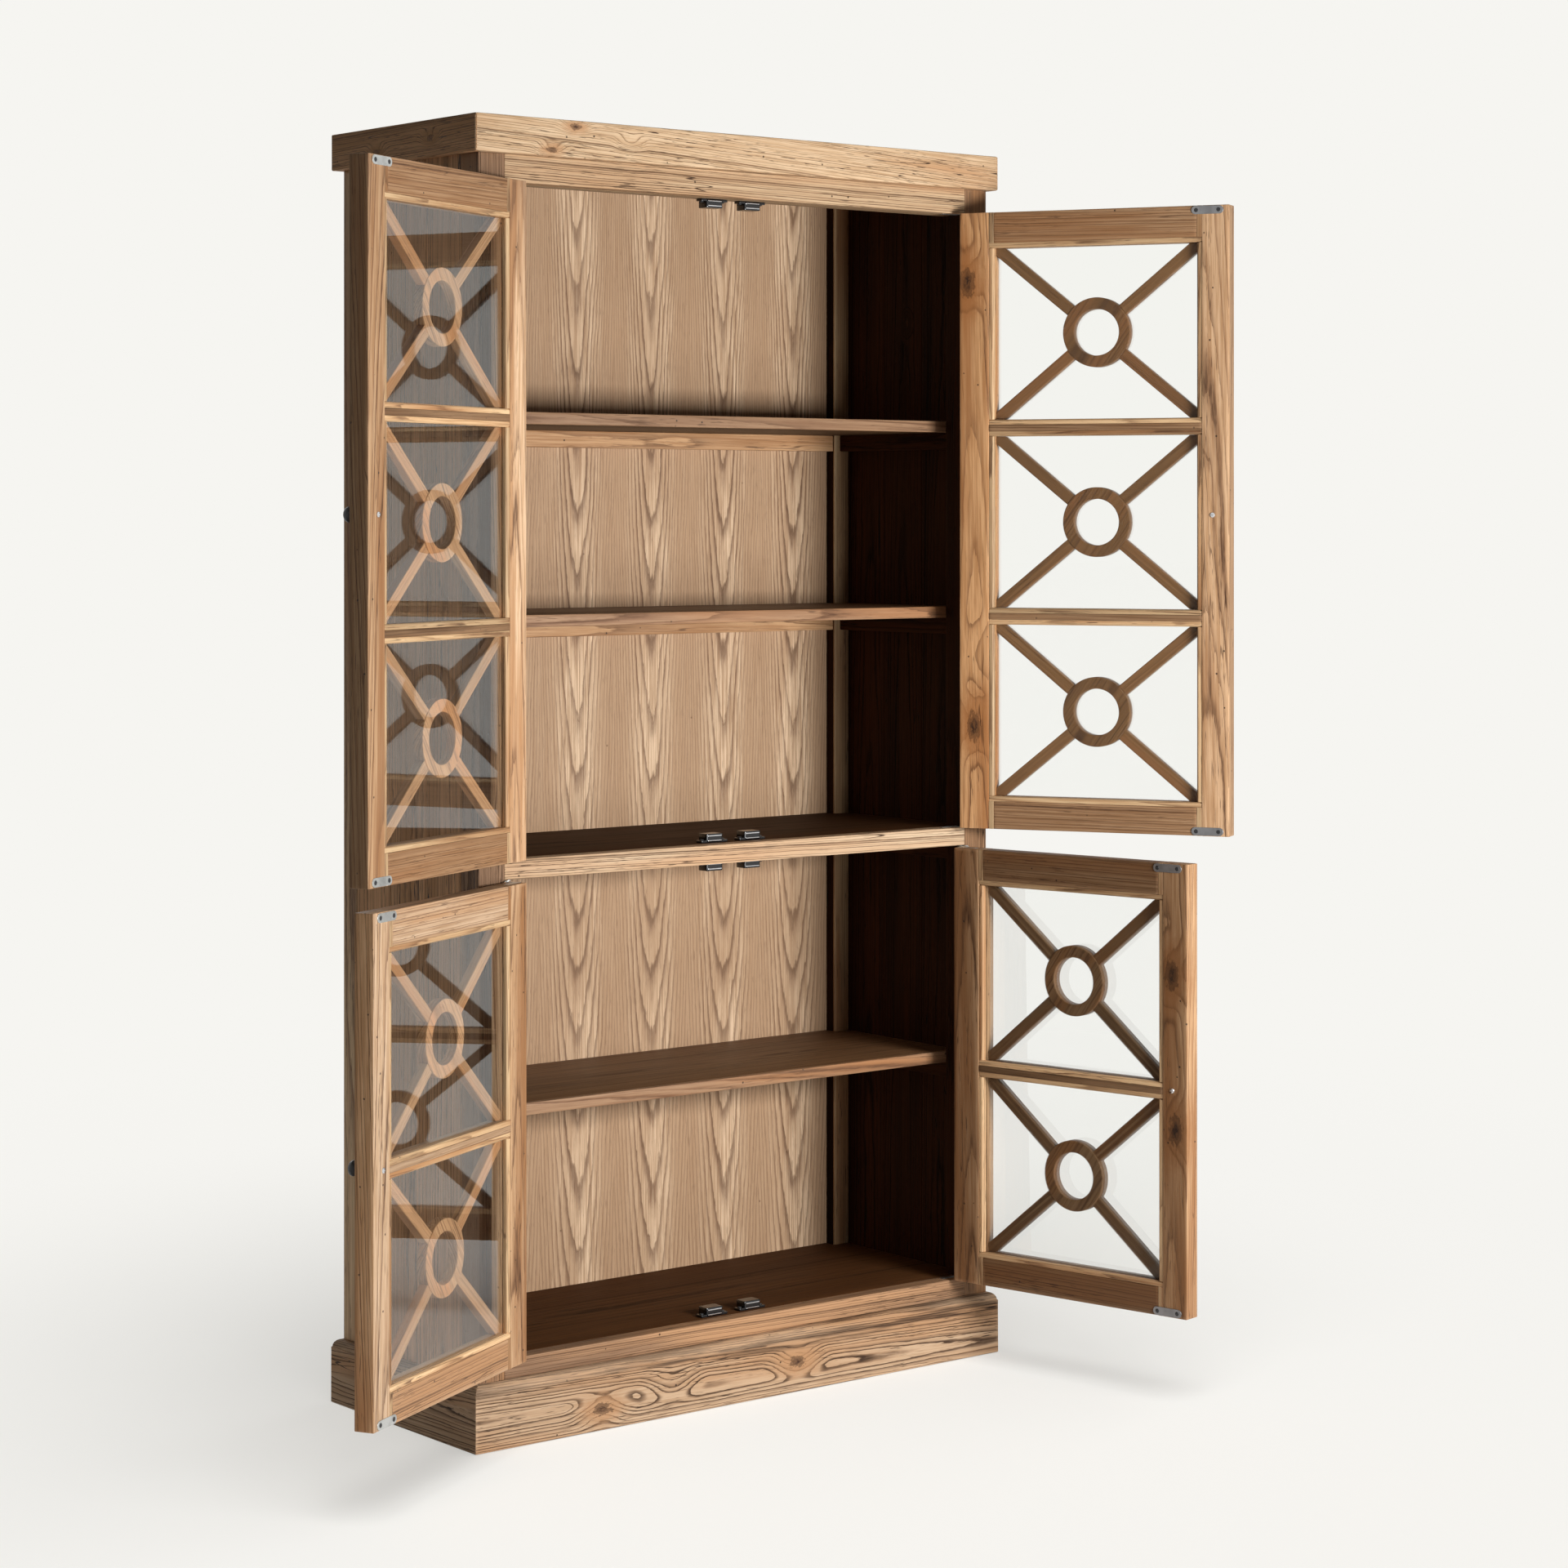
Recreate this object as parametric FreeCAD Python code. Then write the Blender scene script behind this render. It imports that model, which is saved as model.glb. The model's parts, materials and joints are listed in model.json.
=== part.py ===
import FreeCAD, Part
import math
import os

# A tall glazed book cabinet in old elm. Millimetres, Z up.
# The origin is on the floor under the middle of the plinth, and the front faces -Y.
# The four doors stand open as they do in the photograph.

Vec = FreeCAD.Vector
closing_tolerance = 0.001
origin = Vec(0, 0, 0)
along_x = Vec(1, 0, 0)
along_y = Vec(0, 1, 0)
along_z = Vec(0, 0, 1)

# Overall size
width = 1100.0
depth = 430.0
height = 2100.0
body_inset = 15.0  # the crown and the plinth stand out from the body by this much

# Crown: mitred edging round a top panel
crown_thickness = 60.0
crown_edging_width = 80.0
crown_panel_thickness = 22.0
crown_rebate_width = 10.0
crown_arris = 2.0  # the long outer edges are planed off by this much

# Plinth: mitred boards with a rounded top moulding
plinth_face_height = 92.0
plinth_quirk = 1.5
plinth_fillet = 1.0
plinth_round_radius = 12.0
plinth_board_thickness = 36.0
corner_block_side = 40.0
centre_bearer_thickness = 25.0

# Posts, rails and panels
post_width = 50.0
front_post_depth = 50.0
rear_post_depth = 42.0
rail_depth = 30.0
bottom_rail_height = 32.0
mid_rail_height = 32.0
header_rail_height = 44.0
catch_batten_depth = 28.0
lower_opening_height = 756.0
tenon_thickness = 12.0
tenon_length = 30.0
tenon_shoulder = 5.0
side_panel_thickness = 18.0
tongue_thickness = 6.0
tongue_length = 8.0
back_panel_thickness = 6.0
back_panel_setback = 23.0  # behind the front faces of the rear posts
back_groove_depth = 8.0
back_rail_height = 70.0

# Shelves and their cleats
ceiling_board_thickness = 20.0
shelf_thickness = 20.0
shelf_setback = 2.0  # behind the back faces of the front posts
cleat_width = 19.0
cleat_height = 29.0

# Doors
hinge_gap = 2.0
centre_gap = 4.0
end_gap = 1.5
door_thickness = 32.0
hinge_stile_width = 62.0
free_stile_width = 57.0
top_rail_width = 62.0
foot_rail_width = 57.0
muntin_width = 29.0
rebate_width = 9.0
rebate_depth = 13.0
door_tenon_thickness = 9.0
door_tenon_setback = 5.0
door_tenon_length = 25.0
door_tenon_shoulder = 7.0
upper_pane_count = 3
lower_pane_count = 2

# Glass and glazing beads
glass_thickness = 3.0
glass_clearance = 1.0
bead_recess = 1.0
bead_chamfer = 2.5

# Fretwork in front of each pane
bar_width = 20.0
bar_thickness = 15.0
bar_setback = 2.0
ring_diameter = 120.0
ring_bore = 80.0
ring_thickness = 17.0
ring_setback = 1.0

# Knobs
knob_from_edge = 29.0
upper_knob_rise = 543.5  # above the foot of an upper door
lower_knob_rise = 376.5
knob_base_radius = 8.0
knob_waist_radius = 6.0
knob_waist_reach = 6.0
knob_rim_radius = 12.0
knob_rim_reach = 17.0
knob_face_radius = 7.0
knob_reach = 24.0

# Strike plates
strike_length = 56.0
strike_width = 14.0
strike_thickness = 1.5
strike_from_edge = 38.0
strike_margin = 1.0

# Magnetic catches
catch_air_gap = 0.5
catch_width = 33.0
catch_depth = 23.0
catch_height = 15.0
catch_flange_length = 54.0
catch_flange_depth = 15.5
catch_flange_thickness = 4.5
pole_length = 28.0
pole_thickness = 1.7
pole_spacing = 8.0
pole_rise = 7.5
pole_embedment = 11.0
pole_stand_out = 1.0

# Knife hinges, one in each gap above and below a door
leaf_thickness = 0.6
leaf_width = 9.0
leaf_length = 38.0
leaf_reach = 22.0
leaf_nose = 3.4  # half the width of the nose that holds the pin
pin_radius = 1.8
pin_clearance = 0.05
pivot_stand_off = 4.0  # the pin's centre stands this far in front of the body

# How far each door stands open, degrees
upper_left_swing_angle = 153.0
lower_left_swing_angle = 152.0
upper_right_swing_angle = 119.3
lower_right_swing_angle = 101.6

# Places worked out from the sizes above
plinth_height = plinth_face_height + plinth_fillet + plinth_round_radius
half_body = width / 2 - body_inset
half_opening = half_body - post_width
panel_inside = half_body - side_panel_thickness
front = body_inset - depth / 2
back = depth / 2 - body_inset
rail_back = front + rail_depth
front_post_back = front + front_post_depth
rear_post_front = back - rear_post_depth
back_panel_front = rear_post_front + back_panel_setback
back_rail_front = back_panel_front + back_panel_thickness
body_top = height - crown_thickness
crown_ledge = crown_thickness - crown_panel_thickness
lower_floor = plinth_height + bottom_rail_height
lower_top = lower_floor + lower_opening_height
upper_floor = lower_top + mid_rail_height
upper_top = body_top - header_rail_height
door_width = half_opening - hinge_gap - centre_gap / 2
lip_depth = door_thickness - rebate_depth
glass_back = lip_depth + glass_thickness
bead_back = door_thickness - bead_recess
sight_left = hinge_stile_width
sight_right = door_width - free_stile_width
pivot_x = -half_opening + hinge_gap / 2
pivot_y = front - pivot_stand_off
pole_plane = front + door_thickness + strike_thickness + catch_air_gap
catch_offset = strike_from_edge + centre_gap / 2


def block(x0, x1, y0, y1, z0, z1):
    return Part.makeBox(x1 - x0, y1 - y0, z1 - z0, Vec(x0, y0, z0))


def joined(pieces):
    whole = pieces[0]
    for piece in pieces[1:]:
        whole = whole.fuse(piece)
    return whole.removeSplitter()


def fitted(timber, pieces):
    for piece in pieces:
        timber = timber.cut(piece)
    return timber


def mirrored_x(shape):
    return shape.mirror(origin, along_x)


def both_sides(shape):
    return [shape, mirrored_x(shape)]


# A face round a start point and its steps; a step of two points is an arc through the first.
def outline_face(start, steps):
    edges = []
    here = start
    for step in steps:
        if isinstance(step, tuple):
            edges.append(Part.Arc(here, step[0], step[1]).toShape())
            here = step[1]
        else:
            edges.append(Part.LineSegment(here, step).toShape())
            here = step
    if not here.isEqual(start, closing_tolerance):
        edges.append(Part.LineSegment(here, start).toShape())
    return Part.Face(Part.Wire(edges))


def on_circle_yz(y, z, radius, degrees):
    angle = math.radians(degrees)
    return Vec(0, y + radius * math.cos(angle), z + radius * math.sin(angle))


# A board along X with its outer face at y = 0, mitred at the ends that ask for it.
def edge_board(section, length, board_width, mitre_left, mitre_right):
    board = section.extrude(Vec(length, 0, 0)).translated(Vec(-length / 2, 0, 0))
    left_cut = board_width if mitre_left else 0
    right_cut = board_width if mitre_right else 0
    plan = outline_face(Vec(-length / 2, 0, 0), [
        Vec(length / 2, 0, 0),
        Vec(length / 2 - right_cut, board_width, 0),
        Vec(left_cut - length / 2, board_width, 0),
    ])
    return board.common(plan.extrude(Vec(0, 0, section.BoundBox.ZMax)))


def on_front(board, z):
    return board.translated(Vec(0, -depth / 2, z))


def on_left_side(board, z):
    return board.rotated(origin, along_z, -90).translated(Vec(-width / 2, 0, z))


# Crown

def crown_section():
    inner = crown_edging_width
    ledge_start = inner - crown_rebate_width
    arris = crown_arris
    top = crown_thickness
    return outline_face(Vec(0, inner, 0), [
        Vec(0, inner, crown_ledge),
        Vec(0, ledge_start, crown_ledge),
        Vec(0, ledge_start, top),
        Vec(0, arris, top),
        Vec(0, 0, top - arris),
        Vec(0, 0, arris),
        Vec(0, arris, 0),
    ])


def crown_front_edging():
    return on_front(edge_board(crown_section(), width, crown_edging_width, True, True), body_top)


def crown_side_edgings():
    board = edge_board(crown_section(), depth, crown_edging_width, False, True)
    return both_sides(on_left_side(board, body_top))


def crown_top_panel():
    half_width = width / 2 - crown_edging_width + crown_rebate_width
    front_edge = crown_edging_width - crown_rebate_width - depth / 2
    return block(-half_width, half_width, front_edge, depth / 2, body_top + crown_ledge, height)


# Plinth

def plinth_section():
    shoulder = plinth_face_height + plinth_fillet
    round_centre = plinth_quirk + plinth_round_radius
    return outline_face(Vec(0, plinth_board_thickness, 0), [
        Vec(0, 0, 0),
        Vec(0, 0, plinth_face_height),
        Vec(0, plinth_quirk, plinth_face_height),
        Vec(0, plinth_quirk, shoulder),
        (on_circle_yz(round_centre, shoulder, plinth_round_radius, 135), Vec(0, round_centre, plinth_height)),
        Vec(0, plinth_board_thickness, plinth_height),
    ])


def plinth_front_board():
    return on_front(edge_board(plinth_section(), width, plinth_board_thickness, True, True), 0)


def plinth_back_board():
    return plinth_front_board().mirror(origin, along_y)


def plinth_side_boards():
    board = edge_board(plinth_section(), depth, plinth_board_thickness, True, True)
    return both_sides(on_left_side(board, 0))


def plinth_bearers():
    inside_x = width / 2 - plinth_board_thickness
    inside_y = depth / 2 - plinth_board_thickness
    side = corner_block_side
    front_block = block(-inside_x, side - inside_x, -inside_y, side - inside_y, 0, plinth_height)
    blocks = both_sides(front_block)
    blocks += [corner.mirror(origin, along_y) for corner in blocks]
    half_bearer = centre_bearer_thickness / 2
    return blocks + [block(-half_bearer, half_bearer, -inside_y, inside_y, 0, plinth_height)]


# Body frame

def front_rail(z0, rail_height):
    tenon_front = front + (rail_depth - tenon_thickness) / 2
    reach = half_opening + tenon_length
    rail = block(-half_opening, half_opening, front, rail_back, z0, z0 + rail_height)
    tenons = block(-reach, reach, tenon_front, tenon_front + tenon_thickness,
                   z0 + tenon_shoulder, z0 + rail_height - tenon_shoulder)
    return joined([rail, tenons])


# A batten behind the header carries the upper catches.
def header_rail():
    batten = block(-half_opening, half_opening, rail_back, rail_back + catch_batten_depth, upper_top, body_top)
    return joined([front_rail(upper_top, header_rail_height), batten])


def left_side_panel():
    tongue_x = (side_panel_thickness - tongue_thickness) / 2 - half_body
    panel = block(-half_body, -panel_inside, front_post_back, rear_post_front, plinth_height, body_top)
    tongues = block(tongue_x, tongue_x + tongue_thickness, front_post_back - tongue_length,
                    rear_post_front + tongue_length, plinth_height, body_top)
    return joined([panel, tongues])


def back_panel():
    reach = half_opening + back_groove_depth
    return block(-reach, reach, back_panel_front, back_rail_front, plinth_height, body_top)


def back_rail(z0):
    return block(-half_opening, half_opening, back_rail_front, back, z0, z0 + back_rail_height)


# The upper back rail rises between the crown's side edgings and carries the top panel.
def back_rails():
    between_edgings = width / 2 - crown_edging_width
    riser = block(-between_edgings, between_edgings, back_rail_front, back,
                  body_top, body_top + crown_ledge)
    mid_height = (lower_top + upper_floor - back_rail_height) / 2
    top_rail = joined([back_rail(body_top - back_rail_height), riser])
    return [back_rail(plinth_height), back_rail(mid_height), top_rail]


def left_post_timber(y0, y1):
    return block(-half_body, -half_opening, y0, y1, plinth_height, body_top)


# Boards and shelves

def notched_board(front_edge, z0, thickness):
    board = block(-panel_inside, panel_inside, front_edge, back_panel_front, z0, z0 + thickness)
    posts = both_sides(left_post_timber(front, front_post_back))
    posts += both_sides(left_post_timber(rear_post_front, back))
    return fitted(board, posts)


# The ceiling lies on the back panel's top edge, between the crown's edgings.
def ceiling_board():
    reach = width / 2 - crown_edging_width
    return block(-reach, reach, crown_edging_width - depth / 2, back_rail_front,
                 body_top, body_top + ceiling_board_thickness)


def shelf(top):
    return notched_board(front_post_back + shelf_setback, top - shelf_thickness, shelf_thickness)


def cleats_under(z):
    back_cleat = block(-half_opening, half_opening, back_panel_front - cleat_width, back_panel_front,
                       z - cleat_height, z)
    side_cleat = block(-panel_inside, cleat_width - panel_inside, front_post_back, rear_post_front,
                       z - cleat_height, z)
    return [back_cleat] + both_sides(side_cleat)


# Catches, standing on the origin with their poles facing -Y at y = 0

def catch_poles():
    poles = []
    for side in (-1, 1):
        z = pole_rise + side * pole_spacing / 2
        poles.append(block(-pole_length / 2, pole_length / 2, 0, pole_stand_out + pole_embedment,
                           z - pole_thickness / 2, z + pole_thickness / 2))
    return poles


def catch_housing():
    front_face = pole_stand_out
    case = block(-catch_width / 2, catch_width / 2, front_face, front_face + catch_depth, 0, catch_height)
    flange = block(-catch_flange_length / 2, catch_flange_length / 2,
                   front_face, front_face + catch_flange_depth, 0, catch_flange_thickness)
    return fitted(joined([case, flange]), catch_poles())


# Each board face that carries a pair of catches: its height, and whether they hang from it.
catch_faces = [(lower_floor, False), (lower_top, True), (upper_floor, False), (upper_top, True)]


def set_on_face(shape, face):
    z, hanging = face
    turned = shape.rotated(origin, along_y, 180) if hanging else shape
    return both_sides(turned.translated(Vec(-catch_offset, pole_plane, z)))


def on_all_faces(shapes):
    return [placed for face in catch_faces for shape in shapes for placed in set_on_face(shape, face)]


# Doors, drawn shut on the left: x from the hinge edge, y inwards from the outer face, z from the foot

doors = [
    {"name": "upper_left", "right": False, "foot": upper_floor + end_gap,
     "height": upper_top - upper_floor - 2 * end_gap, "panes": upper_pane_count,
     "knob": upper_knob_rise, "swing_angle": upper_left_swing_angle},
    {"name": "upper_right", "right": True, "foot": upper_floor + end_gap,
     "height": upper_top - upper_floor - 2 * end_gap, "panes": upper_pane_count,
     "knob": upper_knob_rise, "swing_angle": upper_right_swing_angle},
    {"name": "lower_left", "right": False, "foot": lower_floor + end_gap,
     "height": lower_opening_height - 2 * end_gap, "panes": lower_pane_count,
     "knob": lower_knob_rise, "swing_angle": lower_left_swing_angle},
    {"name": "lower_right", "right": True, "foot": lower_floor + end_gap,
     "height": lower_opening_height - 2 * end_gap, "panes": lower_pane_count,
     "knob": lower_knob_rise, "swing_angle": lower_right_swing_angle},
]


# The sight opening of each pane, lowest first, as bottom and top heights.
def sight_openings(door):
    count = door["panes"]
    timber = top_rail_width + foot_rail_width + (count - 1) * muntin_width
    tall = (door["height"] - timber) / count
    step = tall + muntin_width
    return [(foot_rail_width + i * step, foot_rail_width + i * step + tall) for i in range(count)]


def set_in_cabinet(door, shapes):
    placed = []
    for shape in shapes:
        shut = shape.translated(Vec(hinge_gap - half_opening, front, door["foot"]))
        turned = shut.rotated(Vec(pivot_x, pivot_y, 0), along_z, -door["swing_angle"])
        placed.append(mirrored_x(turned) if door["right"] else turned)
    return placed


def door_tenon(z0, z1):
    return block(sight_left - door_tenon_length, sight_right + door_tenon_length,
                 door_tenon_setback, door_tenon_setback + door_tenon_thickness,
                 z0 + door_tenon_shoulder, z1 - door_tenon_shoulder)


# The top or foot rail, with the rebate that seats the glass cut along its sight edge.
def end_rail(z0, z1, rebate_z):
    rail = block(sight_left, sight_right, 0, door_thickness, z0, z1)
    rebate = block(sight_left, sight_right, lip_depth, door_thickness, rebate_z, rebate_z + rebate_width)
    return joined([rail.cut(rebate), door_tenon(z0, z1)])


# A muntin: a face bar with a narrower rib behind it that divides the rebates of two panes.
def muntin(z0):
    z1 = z0 + muntin_width
    bar = block(sight_left, sight_right, 0, lip_depth, z0, z1)
    rib = block(sight_left - rebate_width, sight_right + rebate_width, lip_depth, door_thickness,
                z0 + rebate_width, z1 - rebate_width)
    return joined([bar, rib, door_tenon(z0, z1)])


def door_rails(door):
    openings = sight_openings(door)
    top = door["height"]
    rails = [end_rail(0, foot_rail_width, foot_rail_width - rebate_width)]
    rails += [muntin(opening[1]) for opening in openings[:-1]]
    return rails + [end_rail(top - top_rail_width, top, top - top_rail_width)]


def door_stiles(door):
    top = door["height"]
    hinge_stile = block(0, sight_left, 0, door_thickness, 0, top)
    free_stile = block(sight_right, door_width, 0, door_thickness, 0, top)
    rebates = block(sight_left - rebate_width, sight_right + rebate_width, lip_depth, door_thickness, 0, top)
    return [hinge_stile.cut(rebates), free_stile.cut(rebates)]


def door_panes(door):
    lap = rebate_width - glass_clearance
    return [block(sight_left - lap, sight_right + lap, lip_depth, glass_back, z0 - lap, z1 + lap)
            for z0, z1 in sight_openings(door)]


# The beads' section: a square strip whose inner sight corner is chamfered.
def bead_face(corner, toward_sight):
    across = toward_sight * rebate_width
    inward = Vec(0, bead_back - glass_back, 0)
    return outline_face(corner, [
        corner + inward,
        corner + inward + toward_sight * (rebate_width - bead_chamfer),
        corner + across + inward - Vec(0, bead_chamfer, 0),
        corner + across,
    ])


def pane_beads(z0, z1):
    left = sight_left - rebate_width
    right = sight_right + rebate_width
    middle = Vec((left + right) / 2, 0, (z0 + z1) / 2)
    foot_bead = bead_face(Vec(left, glass_back, z0 - rebate_width), along_z).extrude(Vec(right - left, 0, 0))
    side_bead = bead_face(Vec(left, glass_back, z0), along_x).extrude(Vec(0, 0, z1 - z0))
    return [foot_bead, foot_bead.mirror(middle, along_z), side_bead, side_bead.mirror(middle, along_x)]


# Short strips that fill the stiles' rebates beside the top and foot rails.
def rebate_fillers(door):
    spans = [(0, foot_rail_width - rebate_width),
             (door["height"] - top_rail_width + rebate_width, door["height"])]
    starts = [sight_left - rebate_width, sight_right]
    return [block(x, x + rebate_width, lip_depth, door_thickness, z0, z1)
            for x in starts for z0, z1 in spans]


# Four bars on the diagonals of an opening, cut to its corners, round a ring at its middle.
def pane_fretwork(z0, z1):
    half_wide = (sight_right - sight_left) / 2
    half_tall = (z1 - z0) / 2
    middle = Vec(sight_left + half_wide, 0, z0 + half_tall)
    reach = half_wide + half_tall
    slope = math.degrees(math.atan2(half_tall, half_wide))
    bar_back = bar_setback + bar_thickness
    window = block(sight_left, sight_right, 0, door_thickness, z0, z1)
    ring_place = middle + Vec(0, ring_setback, 0)
    disc = Part.makeCylinder(ring_diameter / 2, ring_thickness, ring_place, along_y)
    bore = Part.makeCylinder(ring_bore / 2, ring_thickness, ring_place, along_y)
    pieces = [disc.cut(bore)]
    for turn in (-slope, slope):
        bar = block(-reach, reach, bar_setback, bar_back, -bar_width / 2, bar_width / 2)
        bar = bar.rotated(origin, along_y, turn).translated(middle)
        pieces += bar.common(window).cut(disc).Solids
    return pieces


def turned_knob(door):
    place = Vec(door_width - knob_from_edge, 0, door["knob"])
    knob = outline_face(origin, [
        Vec(knob_base_radius, 0, 0),
        Vec(knob_waist_radius, 0, knob_waist_reach),
        Vec(knob_rim_radius, 0, knob_rim_reach),
        Vec(knob_face_radius, 0, knob_reach),
        Vec(0, 0, knob_reach),
    ]).revolve(origin, along_z, 360)
    return knob.rotated(origin, along_x, 90).translated(place)


# Obround plates on the inner face, which the catches hold.
def strike_plates(door):
    end_radius = strike_width / 2
    half = strike_length / 2 - end_radius
    plate = outline_face(Vec(-half, 0, -end_radius), [
        Vec(half, 0, -end_radius),
        (Vec(strike_length / 2, 0, 0), Vec(half, 0, end_radius)),
        Vec(-half, 0, end_radius),
        (Vec(-strike_length / 2, 0, 0), Vec(-half, 0, -end_radius)),
    ]).extrude(Vec(0, strike_thickness, 0))
    x = door_width - strike_from_edge
    rise = strike_margin + end_radius
    return [plate.translated(Vec(x, door_thickness, z)) for z in (rise, door["height"] - rise)]


# Knife hinges, drawn with the door shut: each L-shaped leaf ends in a nose in front of the door

def leaf_plate(z):
    pin_x = -hinge_gap / 2
    pin_y = -pivot_stand_off
    nose = leaf_nose / 2
    return outline_face(Vec(pin_x - nose, pin_y - leaf_nose, z), [
        Vec(pin_x + nose, pin_y - leaf_nose, z),
        Vec(pin_x + leaf_nose, pin_y - nose, z),
        Vec(pin_x + leaf_nose, 0, z),
        Vec(leaf_width, 0, z),
        Vec(leaf_width, leaf_reach - leaf_width, z),
        Vec(leaf_length, leaf_reach - leaf_width, z),
        Vec(leaf_length, leaf_reach, z),
        Vec(0, leaf_reach, z),
        Vec(0, 0, z),
        Vec(pin_x - nose, -(pivot_stand_off - nose), z),
        Vec(pin_x - leaf_nose, pin_y, z),
    ]).extrude(Vec(0, 0, leaf_thickness))


def pin_rod(radius, z0, z1):
    return Part.makeCylinder(radius, z1 - z0, Vec(-hinge_gap / 2, -pivot_stand_off, z0), along_z)


# The leaves let into the door's foot and top edge turn on the pins.
def door_hinge_leaves(door):
    leaves = []
    for z in (-leaf_thickness, door["height"]):
        bore = pin_rod(pin_radius + pin_clearance, z, z + leaf_thickness)
        leaves.append(leaf_plate(z).cut(bore))
    return leaves


# The frame's leaves carry the pins and stay with the body, so they aren't turned with the door.
def frame_hinge_leaves(door):
    place = Vec(hinge_gap - half_opening, front, door["foot"])
    foot_z = -end_gap
    top_z = door["height"] + end_gap - leaf_thickness
    foot_leaf = joined([leaf_plate(foot_z), pin_rod(pin_radius, foot_z, 0)])
    top_leaf = joined([leaf_plate(top_z), pin_rod(pin_radius, door["height"], top_z + leaf_thickness)])
    placed = [leaf.translated(place) for leaf in (foot_leaf, top_leaf)]
    return [mirrored_x(leaf) for leaf in placed] if door["right"] else placed


def save(name, shapes):
    solids = [solid for shape in shapes for solid in shape.Solids]
    whole = solids[0] if len(solids) == 1 else Part.makeCompound(solids)
    whole.exportStep(os.path.join("parts", name + ".step"))


def save_body():
    header = header_rail()
    mid = front_rail(lower_top, mid_rail_height)
    bottom = front_rail(plinth_height, bottom_rail_height)
    side = left_side_panel()
    panel = back_panel()
    front_post = fitted(left_post_timber(front, front_post_back), [header, mid, bottom, side])
    rear_post = fitted(left_post_timber(rear_post_front, back), [side, panel])
    upper_sights = sight_openings(doors[0])
    lower_sights = sight_openings(doors[2])
    shelf_tops = {
        "top_shelf": doors[0]["foot"] + upper_sights[2][0],
        "middle_shelf": doors[0]["foot"] + upper_sights[1][0],
        "lower_shelf": doors[2]["foot"] + lower_sights[1][0],
    }
    cleats = cleats_under(lower_top)
    for name, top in shelf_tops.items():
        save(name, [shelf(top)])
        cleats += cleats_under(top - shelf_thickness)
    save("shelf_cleats", cleats)
    save("header_rail", [header])
    save("mid_rail", [mid])
    save("bottom_rail", [bottom])
    save("left_side_panel", [side])
    save("right_side_panel", [mirrored_x(side)])
    save("front_left_post", [front_post])
    save("front_right_post", [mirrored_x(front_post)])
    save("rear_left_post", [rear_post])
    save("rear_right_post", [mirrored_x(rear_post)])
    save("back_panel", [panel])
    save("back_rails", back_rails())
    save("floor_board", [notched_board(rail_back, plinth_height, bottom_rail_height)])
    save("divider_board", [notched_board(rail_back, lower_top, mid_rail_height)])
    save("ceiling_board", [ceiling_board()])
    save("catch_housings", on_all_faces([catch_housing()]))
    save("catch_pole_strips", on_all_faces(catch_poles()))
    save("crown_front_edging", [crown_front_edging()])
    save("crown_side_edgings", crown_side_edgings())
    save("crown_top_panel", [crown_top_panel()])
    save("plinth_front_board", [plinth_front_board()])
    save("plinth_side_boards", plinth_side_boards())
    save("plinth_back_board", [plinth_back_board()])
    save("plinth_bearers", plinth_bearers())
    save("frame_hinge_leaves", [leaf for door in doors for leaf in frame_hinge_leaves(door)])


def save_door(door):
    rails = door_rails(door)
    sights = sight_openings(door)
    beads = [bead for z0, z1 in sights for bead in pane_beads(z0, z1)] + rebate_fillers(door)
    pieces = {
        "stiles": [fitted(stile, rails) for stile in door_stiles(door)],
        "rails": rails,
        "glazing_beads": beads,
        "panes": door_panes(door),
        "fretwork": [piece for z0, z1 in sights for piece in pane_fretwork(z0, z1)],
        "knob_and_strikes": [turned_knob(door)] + strike_plates(door),
        "hinge_leaves": door_hinge_leaves(door),
    }
    for part_name, shapes in pieces.items():
        save(door["name"] + "_" + part_name, set_in_cabinet(door, shapes))


os.makedirs("parts", exist_ok=True)
save_body()
for door in doors:
    save_door(door)
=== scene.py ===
import json
import math
import random

import bmesh
import bpy
from mathutils import Matrix, Vector, noise


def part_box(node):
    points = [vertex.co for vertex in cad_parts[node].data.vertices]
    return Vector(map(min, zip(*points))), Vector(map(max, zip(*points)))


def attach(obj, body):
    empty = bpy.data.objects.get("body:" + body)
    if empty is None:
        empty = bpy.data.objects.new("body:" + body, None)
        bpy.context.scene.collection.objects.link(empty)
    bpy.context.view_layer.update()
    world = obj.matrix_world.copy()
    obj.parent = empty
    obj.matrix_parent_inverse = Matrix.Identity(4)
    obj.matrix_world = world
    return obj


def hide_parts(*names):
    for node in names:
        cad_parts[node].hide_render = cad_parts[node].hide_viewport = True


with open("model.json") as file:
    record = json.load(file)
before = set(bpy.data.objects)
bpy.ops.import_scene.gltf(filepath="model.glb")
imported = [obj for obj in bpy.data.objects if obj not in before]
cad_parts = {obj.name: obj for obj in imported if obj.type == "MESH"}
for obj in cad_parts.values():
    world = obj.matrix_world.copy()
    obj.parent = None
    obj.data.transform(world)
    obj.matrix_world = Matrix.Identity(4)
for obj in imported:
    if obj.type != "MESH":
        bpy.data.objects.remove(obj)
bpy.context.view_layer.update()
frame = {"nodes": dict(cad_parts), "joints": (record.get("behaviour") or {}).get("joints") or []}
dice = random.Random(41)
print("frame loaded")

right, back, up = Vector((1, 0, 0)), Vector((0, 1, 0)), Vector((0, 0, 1))


# A value reaches a socket as a link, a colour of three numbers, or a plain number.
def feed(tree, socket, value):
    if isinstance(value, bpy.types.NodeSocket):
        tree.links.new(value, socket)
    elif socket.type == "RGBA":
        socket.default_value = (*value, 1)
    else:
        socket.default_value = value


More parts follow.
